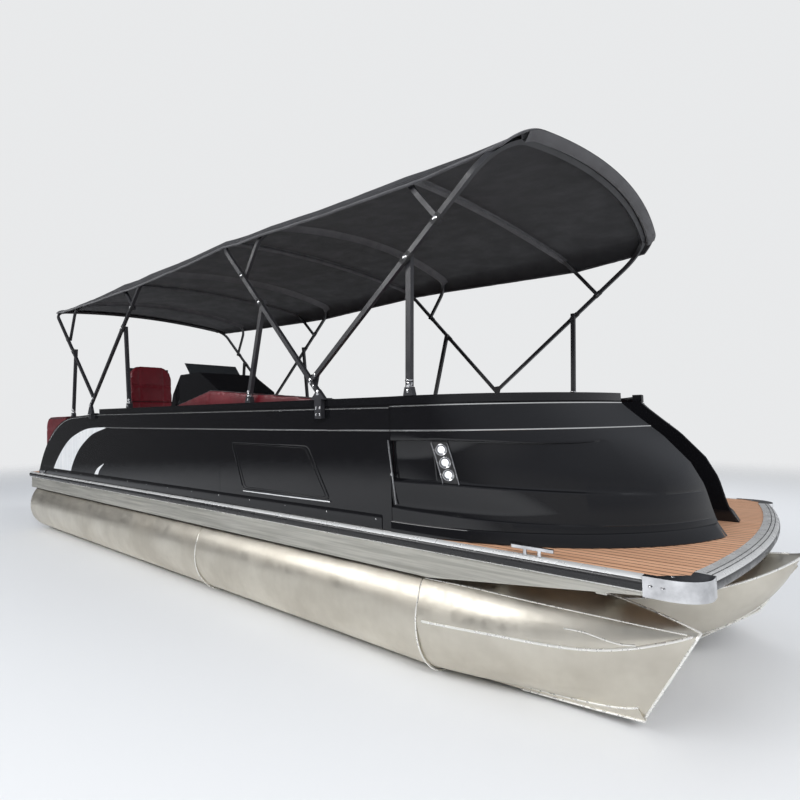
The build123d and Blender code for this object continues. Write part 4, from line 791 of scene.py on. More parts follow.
# %% Cushion tools
def islands(form):
    """The separate closed parts of a form, each as the set of its vertices' numbers."""
    form.verts.index_update()
    form.verts.ensure_lookup_table()
    left, parts = set(range(len(form.verts))), []
    while left:
        first = min(left)
        left.remove(first)
        reach, part = [form.verts[first]], set()
        while reach:
            corner = reach.pop()
            part.add(corner.index)
            for edge in corner.link_edges:
                other = edge.other_vert(corner)
                if other.index in left:
                    left.remove(other.index)
                    reach.append(other)
        parts.append(part)
    return parts


def span_of(form):
    """The lowest and the highest x, y and z of a form."""
    return [[pick(v.co[i] for v in form.verts) for i in range(3)] for pick in (min, max)]


def cut_rows(form, axis, level):
    """Where a plane across an axis cuts a closed form, as closed rows of points."""
    copy = form.copy()
    normal = Vector([float(axis == i) for i in range(3)])
    cut = bmesh.ops.bisect_plane(copy, geom=all_of(copy), plane_co=normal * level, plane_no=normal)["geom_cut"]
    copy.edges.index_update()
    edges = sorted((e for e in cut if isinstance(e, bmesh.types.BMEdge)), key=lambda e: e.index)
    rows = []
    while edges:
        onward = edges.pop(0)
        row = [onward.verts[0], onward.verts[1]]
        while onward:
            onward = next((e for e in row[-1].link_edges if e in edges), None)
            if onward:
                edges.remove(onward)
                row.append(onward.other_vert(row[-1]))
        rows.append([corner.co.copy() for corner in row])
    copy.free()
    return rows


def evaluated_mesh(piece):
    """A piece's mesh with its modifiers applied."""
    return bpy.data.meshes.new_from_object(piece.evaluated_get(bpy.context.evaluated_depsgraph_get()))


def smoothed(form):
    """Evens a form's vertices out once."""
    bmesh.ops.smooth_vert(form, verts=form.verts, factor=0.5, use_axis_x=True, use_axis_y=True, use_axis_z=True)
    form.normal_update()


# %% Seams: each is an axis, a level on it and whether it is corded
def parts_between(axis, low, high, pitch):
    """Plain seams that split a length in equal parts of about a pitch."""
    count = max(1, round((high[axis] - low[axis]) / pitch))
    return [(axis, low[axis] + (high[axis] - low[axis]) * i / count, False) for i in range(1, count)]


def seat_seams(low, high):
    """Seams of a seat: corded ones round its top and bottom, and plain ones across it."""
    long = 0 if high[0] - low[0] > high[1] - low[1] else 1
    return [(2, low[2] + 0.019, True), (2, high[2] - 0.026, True), *parts_between(long, low, high, 0.6)]


def back_seams(low, high):
    """Seams of a straight backrest: corded ones round its front and back, and plain ones across it."""
    thick = 0 if high[0] - low[0] < high[1] - low[1] else 1
    seams = [(thick, low[thick] + 0.022, True), (thick, high[thick] - 0.022, True)]
    seams.append((2, low[2] + 0.62 * (high[2] - low[2]), False))
    return seams + parts_between(1 - thick, low, high, 0.64)


def wrapped_seams(low, high):
    """Seams of a backrest that goes round a corner: a corded one under its top and a plain one below."""
    return [(2, high[2] - 0.026, True), (2, low[2] + 0.60 * (high[2] - low[2]), False)]


def chair_seams(low, high):
    """Seams of the helm chair: corded at front and back, with the side bolsters set off by plain seams."""
    if high[2] - low[2] < 0.2:
        seams = [(2, low[2] + 0.019, True), (2, high[2] - 0.026, True)]
        return seams + [(1, low[1] + 0.1, False), (1, high[1] - 0.1, False)]
    seams = [(1, low[1] + 0.11, False), (1, high[1] - 0.11, False), (0, high[0] - 0.03, True), (0, low[0] + 0.03, True)]
    return seams + [(2, low[2] + share * (high[2] - low[2]), False) for share in (0.34, 0.72)]


# %% Cushions, cut and meshed
seat = (seat_seams, 0.009, 0.024, 0.018)
cushion_rows = (
    # node, body, seams, side room, top room, cell
    ("port_lounge_seat", "port_lounge_seat", *seat),
    ("port_lounge_backrest", "boat", back_seams, 0.013, 0.014, 0.018),
    ("aft_lounge_seat", "aft_lounge_seat", *seat),
    ("aft_sun_pad", "aft_sun_pad", *seat),
    ("aft_lounge_backrests", "boat", wrapped_seams, 0.013, 0.014, 0.018),
    ("bow_seat_port", "bow_seat_port", *seat),
    ("bow_seat_starboard", "bow_seat_starboard", *seat),
    ("bow_corner_cushions", "boat", *seat),
    ("bow_lounge_backrests", "boat", wrapped_seams, 0.012, 0.014, 0.025),
    ("helm_side_bolster", "boat", back_seams, 0.012, 0.014, 0.018),
    ("helm_chair_cushions", "helm_seat", chair_seams, 0.010, 0.014, 0.014),
)
blow_frames = 20


def round_the_top(form, low, high, radius):
    """Rounds the two upper corners of a chair's back with edges that run fore and aft."""
    corners = [
        e for e in form.edges
        if all(v.co.z > high[2] - 0.02 and min(v.co.y - low[1], high[1] - v.co.y) < 0.02 for v in e.verts)
        and abs(e.verts[0].co.y - e.verts[1].co.y) < 0.01
    ]
    bmesh.ops.bevel(form, geom=corners, offset=radius, affect="EDGES", segments=10, profile=0.5, material=-1)


def cut_cushion(label, seams_of, side, top, cell):
    """For each solid of a node: an evenly meshed, smaller copy that is ready to be blown up, and its seams."""
    whole = solid_of(label)
    made = []
    for number, part in enumerate(islands(whole)):
        form = whole.copy()
        form.verts.index_update()
        bmesh.ops.delete(form, geom=[v for v in form.verts if v.index not in part], context="VERTS")
        low, high = span_of(form)
        straight = label == "bow_lounge_backrests" and high[0] - low[0] > 1.15 and len(part) < 50
        if label == "helm_chair_cushions" and high[2] - low[2] > 0.2:
            round_the_top(form, low, high, 0.13)
        mesh = bpy.data.meshes.new("cushion block")
        form.to_mesh(mesh)
        piece = bpy.data.objects.new(f"{label} {number}", mesh)
        scene.collection.objects.link(piece)
        even = piece.modifiers.new("even", "REMESH")
        even.mode = "VOXEL"
        even.voxel_size = cell
        piece.data = evaluated_mesh(piece)
        piece.modifiers.clear()

        seams = (back_seams if straight else seams_of)(low, high)
        rows = [(evenly(row, 0.008), corded) for axis, level, corded in seams for row in cut_rows(form, axis, level)]
        form.free()
        form = bmesh.new()
        form.from_mesh(piece.data)
        smoothed(form)
        for v in form.verts:
            v.co -= Vector((v.normal.x * side, v.normal.y * side, max(v.normal.z, 0) * top))
        form.to_mesh(piece.data)
        skin = BVHTree.FromBMesh(form)
        rows = [([skin.find_nearest(p)[0] for p in row], corded) for row, corded in rows]
        points = [p for row, corded in rows for p in row]
        tree = KDTree(len(points))
        for i, p in enumerate(points):
            tree.insert(p, i)
        tree.balance()
        held = [v.index for v in form.verts if v.normal.z < -0.7 or tree.find(v.co)[2] < cell * 0.62]
        piece.vertex_groups.new(name="seams").add(held, 1.0, "REPLACE")
        form.free()
        cloth = piece.modifiers.new("blown up", "CLOTH")
        cloth.settings.vertex_group_mass = "seams"
        cloth.settings.use_pressure = True
        cloth.settings.uniform_pressure_force = 4.0
        cloth.settings.quality = 4
        cloth.settings.effector_weights.gravity = 0.0
        cloth.point_cache.frame_end = blow_frames
        made.append((piece, rows, tree))
    whole.free()
    return made


cushions = {row[0]: cut_cushion(row[0], *row[2:]) for row in cushion_rows}
print("cushions cut:", sum(len(made) for made in cushions.values()))

# %% Cushions, blown up
for moment in range(1, blow_frames + 1):
    scene.frame_set(moment)


def eased(move, room):
    """A move that never quite reaches its limit."""
    return move / (1 + abs(move) / room)


def pressed(point, direction, tree):
    """Sinks a point a little near a seam, with small puckers beside it."""
    distance = tree.find(point)[2]
    pucker = noise.noise(point * 34) * exp(-((distance / 0.045) ** 2)) * 0.0022
    return point - direction * (0.0035 * exp(-((distance / 0.010) ** 2)) + 0.0012 + pucker)


for label, body, seams_of, side, top, cell in cushion_rows:
    cover, cords, farthest = bmesh.new(), bmesh.new(), 0
    for piece, rows, tree in cushions[label]:
        start = [v.co.copy() for v in piece.data.vertices]
        blown = evaluated_mesh(piece)
        for v, from_here in zip(blown.vertices, start):
            move = v.co - from_here
            farthest = max(farthest, move.length)
            v.co = from_here + Vector((eased(move.x, side), eased(move.y, side), eased(move.z, top)))
        piece.modifiers.clear()
        piece.data = blown
        finer = piece.modifiers.new("finer", "SUBSURF")
        finer.levels = finer.render_levels = 1
        form = bmesh.new()
        form.from_mesh(evaluated_mesh(piece))
        form.normal_update()
        smoothed(form)
        for v in form.verts:
            v.co = pressed(v.co, v.normal, tree)
        skin = BVHTree.FromBMesh(form)
        joined = bpy.data.meshes.new("cover")
        form.to_mesh(joined)
        form.free()
        cover.from_mesh(joined)
        for row in [row for row, corded in rows if corded]:
            line = []
            for p in row[:-1]:
                spot, facing = skin.find_nearest(p)[:2]
                line.append(spot + facing * 0.0016)
            line = [(line[i - 1] + line[i] * 2 + line[(i + 1) % len(line)]) / 4 for i in range(len(line))]
            cable(cords, line, 0.0042, 8, closed=True)
        bpy.data.objects.remove(piece)
    soft = keep(f"{label}_cover", cover, vinyl, body, stands_for=(label,), crease=180)
    keep(f"{label}_piping", cords, piping_look, body)
    print(label, "moved at most", round(farthest * 1000), "mm")
scene.frame_set(1)

# %% [markdown]
# ## Canopy
#
# The canopy is one canvas over eight tube bows that fold together on their pivots. It lies tight on the
# bows, sags a little between them, and is held to each by a sewn pocket. It is laid here as a single
# sheet through the eight bow lines: a leg, a bent corner and a low crown in each bow's leaning plane. Its
# edges are rolled and sewn.

# %% The bow lines
canopy_half, crown_radius, canvas_lift, corner_share = 1.291, 6.0, 0.0026, 0.10
bow_rows = (
    # foot ahead and above the deck, crown ahead and above, hem height, corner radius, tube, shift of the hem
    (2.0524, 0.9050, 0.805, 2.150, 2.015, 0.190, 0.028, -0.022),
    (1.3160, 1.6400, 1.560, 2.152, 1.985, 0.190, 0.026, 0),
    (2.9178, 1.7480, 2.560, 2.142, 1.935, 0.195, 0.026, 0),
    (1.9750, 0.8296, 3.310, 2.130, 1.924, 0.200, 0.028, 0),
    (5.4130, 0.7960, 4.280, 2.145, 1.955, 0.210, 0.028, 0),
    (4.6622, 1.6900, 4.950, 2.132, 1.942, 0.225, 0.026, 0),
    (6.2731, 1.6500, 5.950, 2.092, 1.880, 0.250, 0.026, 0),
    (5.3492, 0.8720, 6.760, 2.060, 1.912, 0.275, 0.028, 0.045),
)
last_bow = len(bow_rows) - 1


def bow_line(row, u, step):
    """A point at share u from the port hem to the starboard one, moved out by a step, and its way out."""
    foot_x, foot_z, crown_x, crown_z, hem_z, corner, tube, shift = row
    top = hypot(crown_x - foot_x, crown_z - foot_z)
    lean = ((crown_x - foot_x) / top, (crown_z - foot_z) / top)
    hem = (hem_z - foot_z) / lean[1]
    inner = canopy_half - corner
    centre = (inner, top - crown_radius + sqrt((crown_radius - corner) ** 2 - inner ** 2))
    away = atan2(centre[1] - top + crown_radius, centre[0])
    start = asin((hem - centre[1]) / corner)
    side, share = (1, u) if u <= 0.5 else (-1, 1 - u)
    if share < corner_share:
        turn = start + (away - start) * share / corner_share
        y, h = centre[0] + (corner + step) * cos(turn), centre[1] + (corner + step) * sin(turn)
    else:
        turn = away + (pi / 2 - away) * (share - corner_share) / (0.5 - corner_share)
        y, h = (crown_radius + step) * cos(turn), top - crown_radius + (crown_radius + step) * sin(turn)
    out = Vector((sin(turn) * lean[0], side * cos(turn), sin(turn) * lean[1]))
    return at(foot_x + shift + h * lean[0], side * y, foot_z + h * lean[1]), out.normalized()


# %% The canvas
canvas_columns, hem_line = 220, 0.03
bays = [(i, j / count) for i, count in enumerate((15, 20, 16, 20, 14, 20, 17)) for j in range(count)]
bays.append((last_bow - 1, 1.0))


def canvas_point(u, bay, share, step=canvas_lift):
    """The sheet between two bows: straight from one to the other, with a slight sag and soft creases."""
    (first, out_a), (second, out_b) = (bow_line(bow_rows[bay + k], u, step) for k in (0, 1))
    out = out_a.lerp(out_b, share).normalized()
    point = first.lerp(second, share)
    slack = 4 * share * (1 - share)
    to_hem = min(u, 1 - u) * 3.1
    crease = noise.noise(Vector((point.x * 7, point.y * 2.2, point.z * 5))) * (0.25 + exp(-to_hem / 0.22))
    ripple = noise.noise(Vector((point.x * 24, point.y * 5, point.z * 9 + 7))) * exp(-to_hem / 0.10)
    return point - out * slack * (0.008 + 0.005 * crease + 0.0035 * ripple)


form = bmesh.new()
laid(form, canvas_columns, len(bays) - 1, lambda u, v: canvas_point(u, *bays[round(v * (len(bays) - 1))]))
one_side = sum(face.calc_area() for face in form.faces)
flat_width = length_of([canvas_point(i / 80, 3, 0.0) for i in range(81)])
flat_length = length_of([canvas_point(hem_line, *bay) for bay in bays])
flat_length = max(flat_length, one_side / flat_width * 1.001)
bmesh.ops.recalc_face_normals(form, faces=form.faces)
bmesh.ops.solidify(form, geom=form.faces[:], thickness=0.0020)
canvas_sheet = keep("canopy_canvas", form, canvas, stands_for=("canopy",), crease=60)
print("canvas", round(flat_width, 2), "by", round(flat_length, 2), "m, area", round(one_side, 2))

# %% Hems
hems = bmesh.new()
for u in (0.0, 1.0):
    rough_edge = [Vector((0, 0, noise.noise(Vector((i * 0.9, u, 0))) * 0.0025)) for i in range(len(bays))]
    cable(hems, [canvas_point(u, *bay) + shift for bay, shift in zip(bays, rough_edge)], 0.0085, 10)
    for inward in (0.012, 0.020):
        cable(hems, [canvas_point(abs(u - inward), *bay, canvas_lift + 0.0014) for bay in bays], 0.0022 * 0.55, 6)
for bay, share in (bays[0], bays[-1]):
    cable(hems, [canvas_point(i / 120, bay, share) for i in range(121)], 0.0065, 10)
hem_pieces = [keep("canopy_hems", hems, hem_cloth, crease=60)]

# %% Bow pockets
pockets, stitches = bmesh.new(), bmesh.new()
pocket_half, end_reach = 0.040, 0.018
for i, row in enumerate(bow_rows):
    foot_x, foot_z, crown_x, crown_z, tube = *row[:4], row[6]
    lean = Vector((crown_x - foot_x, 0, crown_z - foot_z)).normalized()
    normal = Vector((lean.z, 0, -lean.x))
    sink = tube / 2 * abs(lean.x / lean.z) + 0.0025

    def canvas_beside(u, shift):
        """The underside of the canvas a little ahead or aft of a bow, at the same share of the width."""
        here, out = bow_line(row, u, 0)
        bay = min(i, last_bow - 1) if shift > 0 and i < last_bow else max(i - 1, 0)
        first, second = (bow_line(bow_rows[bay + k], u, 0)[0] for k in (0, 1))
        step = max(shift, -end_reach) if i == 0 else min(shift, end_reach) if i == last_bow else shift
        return here + (second - first).normalized() * step - out * 0.0015

    def sleeve(u, v):
        """A point of the pocket: from the canvas round under the tube and back to the canvas."""
        share = 0.055 + 0.89 * u
        here, out = bow_line(row, share, -sink - tube / 2)
        half = tube / 2 + 0.0022
        round_it = [
            here + normal * half * across - out * half * under
            for across, under in ((-1, 0.2), (-0.8, 0.9), (0, 1), (0.8, 0.9), (1, 0.2))
        ]
        before, after = (
            [canvas_beside(share, pocket_half * way * reach) for reach in (1, 0.72)] for way in (-1, 1)
        )
        profile = (*before, *(round_it if normal.x > 0 else reversed(round_it)), *reversed(after))
        return profile[round(v * 8)]

    laid(pockets, 150, 8, sleeve)
    for shift in (-0.92, 0.92):
        shares = [0.055 + 0.89 * k / 90 for k in range(91)]
        line = [canvas_beside(share, pocket_half * shift) - bow_line(row, share, 0)[1] * 0.001 for share in shares]
        cable(stitches, line, 0.0010, 6)
bmesh.ops.recalc_face_normals(pockets, faces=pockets.faces)
bmesh.ops.solidify(pockets, geom=pockets.faces[:], thickness=0.0012)
hem_pieces.append(keep("canopy_pockets", pockets, hem_cloth, crease=60))
hem_pieces.append(keep("canopy_stitching", stitches, canvas, crease=60))

# %% [markdown]
# ## Side walls
#
# The side wall is a gloss black skin on an aluminium frame. Film, tape and thin extrusions make its
# pattern: a broad white sweep that rises out of the rub rail and runs into a silver stripe, a small one
# ahead of it, a bright line under the cap, a shallow pressed panel, and a band that hides the screws at
# the deck. Each is a thin piece of its own, as on the real wall, and lies on the wall's outer face.

# %% Sweeps
wall_face, cap_middle = 1.2505, 1.243
sweeps = (
    (
        ((0.713, 0.012), (0.87, 0.175), (1.053, 0.315), (1.24, 0.425), (1.451, 0.503), (1.815, 0.577), (2.30, 0.593)),
        ((1.30, 0.012), (1.36, 0.130), (1.449, 0.236), (1.565, 0.335), (1.709, 0.418), (1.951, 0.519), (2.30, 0.587)),
    ),
    (
        ((1.925, 0.012), (1.99, 0.080), (2.07, 0.150), (2.223, 0.208)),
        ((2.046, 0.012), (2.08, 0.075), (2.13, 0.142), (2.228, 0.205)),
    ),
)
form = bmesh.new()
for edges in sweeps:
    outer, inner = (eased_line(edge, 60) for edge in edges)

    def on_film(u, v):
        """A point of the film between its two edges."""
        spot = outer[round(u * 60)].lerp(inner[round(u * 60)], v)
        return at(spot.x, -wall_face - 0.0006, spot.y)

    laid(form, 60, 4, on_film)
bmesh.ops.recalc_face_normals(form, faces=form.faces)
bmesh.ops.solidify(form, geom=form.faces[:], thickness=0.0005)
mirrored(form)
keep("wall_sweeps", form, film)

# %% The port gate's gap
gate_middle = Vector((1.09, cap_middle, 1.2))
port_wall = surface_of("side_walls_port")
gate_gap = [port_wall.ray_cast(gate_middle, (way, 0, 0))[0].x for way in (-1, 1)]


def clear_of_gate(form):
    """Cuts what crosses the gap of the port gate out of a form and closes every end."""
    bmesh.ops.remove_doubles(form, verts=form.verts, dist=1e-5)
    bmesh.ops.delete(form, geom=[face for face in form.faces if len(face.verts) > 8], context="FACES_ONLY")
    for x in gate_gap:
        bmesh.ops.bisect_plane(form, geom=all_of(form), plane_co=(x, 0, 0), plane_no=(1, 0, 0))
    middles = {face: face.calc_center_median() for face in form.faces}
    crossing = [face for face, spot in middles.items() if spot.y > 0 and gate_gap[0] < spot.x < gate_gap[1]]
    bmesh.ops.delete(form, geom=crossing, context="FACES")
    bmesh.ops.holes_fill(form, edges=[e for e in form.edges if e.is_boundary], sides=0)


print("gate gap", [round(x, 3) for x in gate_gap])

# %% Stripes and bright lines
wall_skin = surface_of("side_walls_starboard")
edge_aft, edge_fore = 0.62, 5.925


def wall_edge(x):
    """The top edge of the starboard wall's outer face."""
    hit = wall_skin.ray_cast(at(x, -cap_middle, 2.0), down)[0]
    return at(x, -wall_face, hit.z - deck_top if hit else 0.7)


def wall_stripe(form, row, count, width, thickness, out=0.0):
    """A strip on the starboard wall through a few points, given ahead and above the deck."""
    line = eased_line([at(x, -wall_face - out, z) for x, z in row], count)
    strip(form, line, [starboard] * (count + 1), up_way, width, thickness)


form = bmesh.new()
edge_line = [wall_edge(edge_aft + (edge_fore - edge_aft) * i / 120) for i in range(121)]
ways = [way.cross(starboard).normalized() for way in line_frames(edge_line)]
ways = [way if way.z > 0 else -way for way in ways]
strip(form, [p - way * 0.017 for p, way in zip(edge_line, ways)], [starboard] * 121, ways, 0.007, 0.003)
wall_stripe(form, ((2.26, 0.590), (2.83, 0.583), (4.0, 0.573), (5.21, 0.563), (5.925, 0.560)), 60, 0.0065, 0.0018)
wall_stripe(form, ((4.61, 0.120), (5.02, 0.120), (5.47, 0.122)), 12, 0.009, 0.004, out=0.004)
mirrored(form)
clear_of_gate(form)
keep("wall_bright_lines", form, bright_metal)

form = bmesh.new()
gate_skin = surface_of("side_gate")
first, last = gate_gap[0] + 0.03, gate_gap[1] - 0.03
starts = [Vector((first + (last - first) * i / 20, 2.0, deck_top + 0.5745)) for i in range(21)]
line = [gate_skin.ray_cast(start, starboard)[0] for start in starts]
strip(form, line, [-starboard] * 21, up_way, 0.0065, 0.0018)
keep("side_gate_line", form, bright_metal, body="side_gate")

# %% Pressed panel
panel_edge = [Vector(p) for p in ((4.60, 0.135), (5.462, 0.137), (5.281, 0.460), (4.472, 0.472))]
panel_middle = sum(panel_edge, Vector((0, 0))) / 4
form = bmesh.new()
for inset, radius, sides in ((0.0, 0.0042, 10), (0.022, 0.0022, 8)):
    corners = [c + (panel_middle - c).normalized() * inset * 1.4 for c in panel_edge]
    line = [at(p.x, -wall_face - 0.0005, p.y) for p in round_corners(corners, 0.03, 6)]
    cable(form, line, radius, sides, closed=True)
mirrored(form)
keep("wall_pressed_panels", form, gelcoat, crease=60)

# %% Seam, base band and its screws
form = bmesh.new()
seam_line = [at(4.31, -wall_face, 0.09 + 0.0465 * i) for i in range(11)]
strip(form, seam_line, [starboard] * 11, Vector((1, 0, 0)), 0.004, 0.0008)
band = [at(0.30 + (5.86 - 0.30) * i / 60, -wall_face, 0.046) for i in range(61)]
strip(form, band, [starboard] * 61, up_way, 0.080, 0.0045)
screws = bmesh.new()
for i in range(15):
    bolt(screws, at(0.50 + 0.38 * i, -wall_face - 0.0045, 0.060), starboard, 0.0045, 0.003, washer=False)
for part in (form, screws):
    mirrored(part)
    clear_of_gate(part)
keep("wall_base_bands", form, gelcoat)
keep("wall_base_screws", screws, stainless)

# %% [markdown]
# ## Rails and corner castings
#
# The rub rail is one long aluminium extrusion with a bright flat top and a bright lower lip; the black band
# between them, on its rounded side, is a painted dark reflection. The bow rail has a broad white top with two
# fine grooves. The bands follow the height, so the finish is chosen by height across one piece of metal.

# %% Rail finish, with a painted dark reflection
blend = 0.0008
for label, painted_reflection_top, painted_reflection_bottom in (
    ("rub_rails", 0.7640, 0.7180), ("bow_rail", 0.7580, 0.7185), ("stern_rail", 0.7640, 0.7200)
):
    rail_with_painted_reflection, tree, shader = finish(f"{label}_finish", (0.85, 0.85, 0.85), 0.2, rough=(9.0, 0.22, 0.38))
    z = coordinates(tree)[3]
    high = ranged(tree, z, painted_reflection_top - blend, painted_reflection_top + blend)
    low = ranged(tree, z, painted_reflection_bottom + blend, painted_reflection_bottom - blend)
    metal = calc(tree, "MAXIMUM", high, low)
    # The black band between the two heights is a painted dark reflection on the rail's rounded side; above and below it
    # the rail keeps its own metal colour.
    tree.links.new(two_tone(tree, metal, (0.012, 0.012, 0.013), (0.84, 0.84, 0.83)), shader.inputs["Base Color"])
    tree.links.new(calc(tree, "MULTIPLY", metal, 0.55), shader.inputs["Metallic"])
    bumped(tree, shader, metal, 0.4, 0.0012)
    painted(label, rail_with_painted_reflection)

# %% Bow rail grooves and casting bolts
rail_skin, casting_skin = surface_of("bow_rail"), surface_of("bow_corner_castings")
form, bolts = bmesh.new(), bmesh.new()
starts = [Vector((5.2, -1.10 + 2.20 * i / 80, 0.74)) for i in range(81)]
front = [rail_skin.ray_cast(start, (-1, 0, 0))[0] for start in starts]
for inset in (0.020, 0.036):
    line = []
    for p, way in zip(front, line_frames(front)):
        inward = way.cross(up_way).normalized()
        inward = inward if inward.x < 0 else -inward
        line.append(rail_skin.ray_cast(p + inward * inset + up_way * 0.2, down)[0] or p)
    cable(form, line, 0.0016, 6)
keep("bow_rail_grooves", form, rubber)
for y in (-1.10, -1.17, -1.235):
    for x in (4.30, 4.36):
        hit, facing = casting_skin.ray_cast(Vector((x, y, 1.0)), down)[:2]
        if hit and facing.z > 0.8:
            bolt(bolts, hit, facing, 0.0055, 0.003)
for x in (4.30, 4.34):
    hit, facing = casting_skin.ray_cast(Vector((x, -1.5, 0.74)), -starboard)[:2]
    if hit:
        bolt(bolts, hit, facing, 0.006, 0.004)
mirrored(bolts)
keep("casting_bolts", bolts, stainless)

# %% [markdown]
# ## Tube noses
#
# Each nose is plates welded to the tube along a chine, with a stem bar down its front. The weld is a
# bright bead that sweeps up to the point. A rib is rolled in above it, and the ring where the nose joins
# the tube is welded too.


# %% Creases and rings
def crease_rows(label, from_x, angle):
    """The sharp edges of a node ahead of a place, joined into rows of points."""
    form = solid_of(label, 1e-4)
    form.edges.index_update()
    sharp = {
        e for e in form.edges
        if len(e.link_faces) == 2 and e.calc_face_angle() > angle and min(v.co.x for v in e.verts) > from_x
    }
    meets = {}
    for e in sorted(sharp, key=lambda e: e.index):
        for v in e.verts:
            meets.setdefault(v, []).append(e)
    rows = []
    for first in sorted(meets, key=lambda v: (len(meets[v]) == 2, v.co.x)):
        for e in meets[first]:
            row, onward = [first], e
            while onward in sharp:
                sharp.remove(onward)
                row.append(onward.other_vert(row[-1]))
                if len(meets[row[-1]]) != 2:
                    break
                onward = next((other for other in meets[row[-1]] if other in sharp), None)
            rows.append([v.co.copy() for v in row])
    form.free()
    return [row for row in rows if len(row) > 1 and length_of(row) > 0.12]


beads = bmesh.new()
for label, nose_aft in (("tube_starboard", 6.12), ("tube_port", 6.12), ("tube_centre", 6.33)):
    for row in crease_rows(label, deck_aft + nose_aft, radians(16)):
        cable(beads, evenly(row, 0.02), 0.0055, 8)
tube_low, tube_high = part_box("tube_starboard")
tube_radius = (tube_high.y - tube_low.y) / 2
side_tube, centre_tube = tube_radius - deck_top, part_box("tube_centre")[1].y - deck_top
for x, y, z in (
    (4.015, -0.966, side_tube), (4.015, 0.966, side_tube),
    (6.092, -0.966, side_tube), (6.092, 0.966, side_tube), (6.30, 0.0, centre_tube),
):
    reach = tube_radius - 0.0010
    turns = [2 * pi * i / 96 for i in range(96)]
    cable(beads, [at(x, y + reach * sin(turn), z + reach * cos(turn)) for turn in turns], 0.0045, 8, closed=True)
keep("nose_welds", beads, weld_metal)

# %% Chine weld, plate edge and rib
side_lines = (
    # radius, then ahead and above the deck: the chine's weld, the edge of the upper plate, and a rolled rib
    (0.0062, (
        (6.107, -0.425), (6.466, -0.406), (6.764, -0.403), (6.895, -0.393),
        (7.002, -0.372), (7.087, -0.346), (7.170, -0.315), (7.226, -0.289),
    )),
    (0.0034, ((6.099, -0.224), (6.322, -0.224), (6.509, -0.233), (6.849, -0.256), (7.103, -0.278), (7.210, -0.287))),
    (0.0040, ((6.781, -0.323), (6.858, -0.327), (6.932, -0.344), (6.985, -0.354), (7.041, -0.352))),
)
nose_skin = surface_of("tube_starboard")
drawn = bmesh.new()
for radius, points in side_lines:
    for y, toward in ((-2.0, 1), (-0.45, -1)):
        hits = [nose_skin.ray_cast(at(p.x, y, p.y), (0, toward, 0))[:2] for p in eased_line(points, 90)]
        line = [spot + facing * radius * 0.35 for spot, facing in hits if spot]
        for _ in range(4):
            last = len(line) - 1
            line = [(line[max(i - 1, 0)] + 2 * p + line[min(i + 1, last)]) / 4 for i, p in enumerate(line)]
        cable(drawn, line, radius, 10)
mirrored(drawn)
keep("nose_chines", drawn, weld_metal)

# %% [markdown]
# ## Canopy fittings
#
# The bows slide and fold on jaw clamps: two moulded halves round the tube, held by a stainless bolt. The
# posts stand in stainless feet on the cap, and the big brackets carry the pivots.

# %% Clamps, bolts and feet
jaws, shiny = bmesh.new(), bmesh.new()
hoops = [bow_rows[i][:4] for i in (0, 3, 4, 7)]
clamps = (
    # hoop, height of a post or brace joint, how long the clamp is
    (3, 1.490, 0.075), (2, 1.460, 0.075), (1, 1.570, 0.075), (0, 1.480, 0.075),
    (0, 1.640, 0.062), (1, 1.748, 0.062), (2, 1.690, 0.062), (3, 1.650, 0.062),
)
for hoop, z, length in clamps:
    foot_x, foot_z, crown_x, crown_z = hoops[hoop]
    lean = Vector((crown_x - foot_x, 0, crown_z - foot_z)).normalized()
    spot = at(foot_x + (crown_x - foot_x) * (z - foot_z) / (crown_z - foot_z), -1.277, z)
    block(jaws, turned(lean, spot, (0, 1, 0)), (0.034, 0.036, length), 0.005, 3)
    for shift in (-0.30, 0.30):
        rod(jaws, spot + lean * length * (shift - 0.03), spot + lean * length * (shift + 0.03), 0.0215, 24)
    bolt(shiny, spot + starboard * 0.0172, starboard, 0.0085, 0.006)
for foot_x, foot_z, crown_x, crown_z in hoops:
    lean = Vector((crown_x - foot_x, 0, crown_z - foot_z)).normalized()
    spot = at(foot_x, -1.2915, foot_z)
    bolt(shiny, spot, starboard, 0.0105, 0.007)
    bolt(shiny, spot + lean * 0.055, starboard, 0.006, 0.004)
cap_skin = surface_of("gunwale_caps", "side_walls_starboard", "side_walls_port")
for x in (6.06, 4.683, 2.801, 1.400):
    top = cap_skin.ray_cast(at(x, -cap_middle, 1.2), down)[0]
    base = at(x, -cap_middle, (top.z - deck_top) if top else 0.716)
    for height, radius, thick in ((0.047, 0.0225, 0.010), (0.062, 0.0205, 0.022), (0.082, 0.0235, 0.008)):
        rod(shiny, base + up_way * (height - thick / 2), base + up_way * (height + thick / 2), radius, 28)
    bolt(shiny, base + Vector((0, -0.0205, 0.024)), starboard, 0.006, 0.004)
for x, z in ((5.413, 0.70), (5.413, 0.66), (1.975, 0.735)):
    for shift in (-0.016, 0.016):
        bolt(shiny, at(x + shift, -1.2912, z), starboard, 0.005, 0.0035)
mirrored(jaws)
mirrored(shiny)
keep("canopy_jaw_clamps", jaws, trim_black)
keep("canopy_bolts_and_feet", shiny, stainless)

# %% [markdown]
# ## Helm, lockers, gates and motor
#
# Small parts tell how things are used: the dash has round gauges and a row of rocker switches, with a
# throttle box beside the wheel; locker fronts have a door outline and a pull; gates have a tube frame and
# a slam latch; the cowl has bright bands. They are placed by casting a line onto what carries them.

# %% Dash
dash = surface_of("helm_console")
dials, rims, knobs = bmesh.new(), bmesh.new(), bmesh.new()


def on_dash(x, y, lift=0.0):
    """The point of the console under a place, the way its face looks, and a matrix there at a lift."""
    spot, facing = dash.ray_cast(Vector((x, y, 2.4)), down)[:2]
    return spot, facing, turned(facing, spot + facing * lift, (0, 1, 0))


